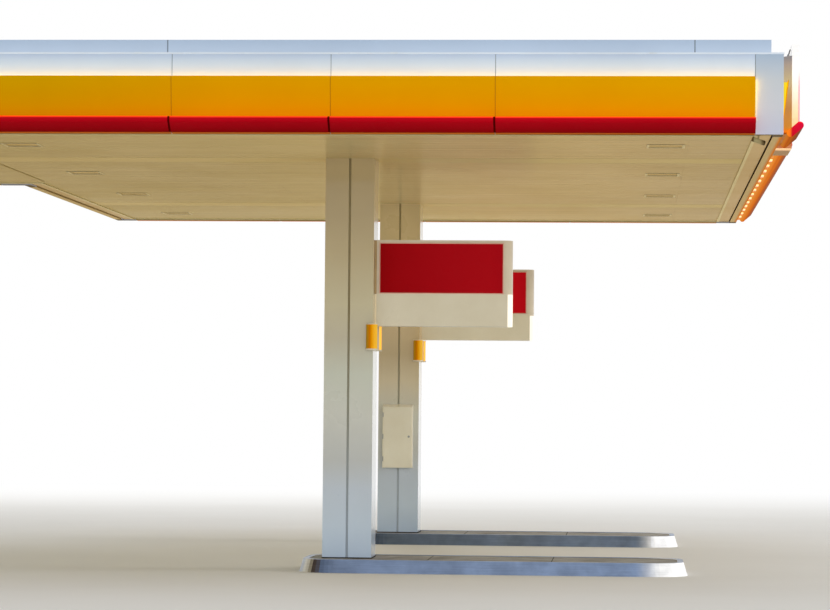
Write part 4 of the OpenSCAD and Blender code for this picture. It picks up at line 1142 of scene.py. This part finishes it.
# %% Joints of the slabs and seals at the column feet
fillers, foot_seals = bmesh.new(), bmesh.new()
slab_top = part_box("island_slabs")[1].z
half_slab, seal_off, half_seal_t = 0.679, 0.303, 0.003
seal_z = (slab_top + 0.0002, slab_top + 0.014)
for x, y in columns:
    for u in (1.0, 2.5):
        standing(fillers, (x + u, y), (0.005, half_slab), slab_top - 0.02, slab_top + 0.0008)
    for off in (-seal_off, seal_off):
        standing(foot_seals, (x, y + off), (seal_off + half_seal_t, half_seal_t), *seal_z)
        standing(foot_seals, (x + off, y), (half_seal_t, 0.2998), *seal_z)
filler_coat = coated("black joint filler", "#3a3632", "#5c5448", 0.9, patch=0.2, level=0.1)
piece("slab_joint_fillers", fillers, filler_coat)
piece("column_foot_seals", foot_seals, filler_coat)

# %% [markdown]
# ## Floor, light and background
# The floor is a pale plane, much larger than the canopy. It keeps the canopy's shadow,
# and far away it runs into the plain white of the background, so no horizon shows. That
# white is only for rays from the camera, mirrors and glass, and adds no light.

# %% Floor and background
def shown(tree):
    """Gives 1 for rays that come straight from the camera, or by way of a mirror or glass."""
    camera_ray, mirror_ray, glass_ray = (
        add("ShaderNodeLightPath", out=name, tree=tree)
        for name in ("Is Camera Ray", "Is Glossy Ray", "Is Transmission Ray"))
    direct = add("ShaderNodeMath", [camera_ray, mirror_ray], operation="MAXIMUM")
    return add("ShaderNodeMath", [direct, glass_ray], operation="MAXIMUM")


floor_paint = coated("pale studio floor", "#e6e4df", "#dcd8d0", 0.9, patch=6.0, share=0.15,
                     dent=0.0, level=0.1)
place, _ = parts_of(floor_paint)
tree = floor_paint.node_tree
from_middle = add("ShaderNodeVectorMath", [place], "Value", operation="LENGTH")
far = add("ShaderNodeMapRange", [from_middle, 17.0, 42.0], interpolation_type="SMOOTHSTEP")
white = add("ShaderNodeEmission", {"Color": "#ffffff", "Strength": 1.0}, tree=tree)
whitened = add("ShaderNodeMath", [far, shown(tree)], operation="MULTIPLY")
painted = tree.nodes["Principled BSDF"].outputs[0]
faded = add("ShaderNodeMixShader", [whitened, painted, white])
feed(tree.nodes["Material Output"], {"Surface": faded})
ground = bmesh.new()
bmesh.ops.create_grid(ground, x_segments=1, y_segments=1, size=400.0)
floor = mesh_object("studio_floor", ground, floor_paint)

world = bpy.data.worlds.new("studio")
world.use_nodes = True
scene.world = world
tree = world.node_tree
tree.nodes.clear()
sky = add("ShaderNodeBackground", {"Color": (0.98, 0.99, 1.0, 1), "Strength": 0.72}, tree=tree)
page = add("ShaderNodeBackground", {"Color": "#ffffff", "Strength": 1.0}, tree=tree)
backdrop = add("ShaderNodeMixShader", [shown(tree), sky, page])
feed(tree.nodes.new("ShaderNodeOutputWorld"), {"Surface": backdrop})
print("floor and background ready")

# %% Soft lamps, which point at the canopy and don't show themselves
for name, place, aim, size, watts in (
        ("front_lamp", (14, -46, 5.5), (-2, 2, 3), 14.0, 4300),
        ("right_lamp", (44, 6, 16), (0, 4, 3), 16.0, 4500),
        ("rear_lamp", (-10, 50, 16), (-2, 4, 3), 16.0, 4500)):
    data = bpy.data.lights.new(name, "AREA")
    data.shape = "DISK"
    data.size = size
    data.energy = watts
    lamp = bpy.data.objects.new(name, data)
    scene.collection.objects.link(lamp)
    lamp.location = place
    lamp.rotation_euler = (Vector(aim) - Vector(place)).to_track_quat("-Z", "Y").to_euler()
    lamp.visible_camera = False
    lamp.visible_glossy = False
scene.view_settings.view_transform = "Standard"
print("lamps: 3")
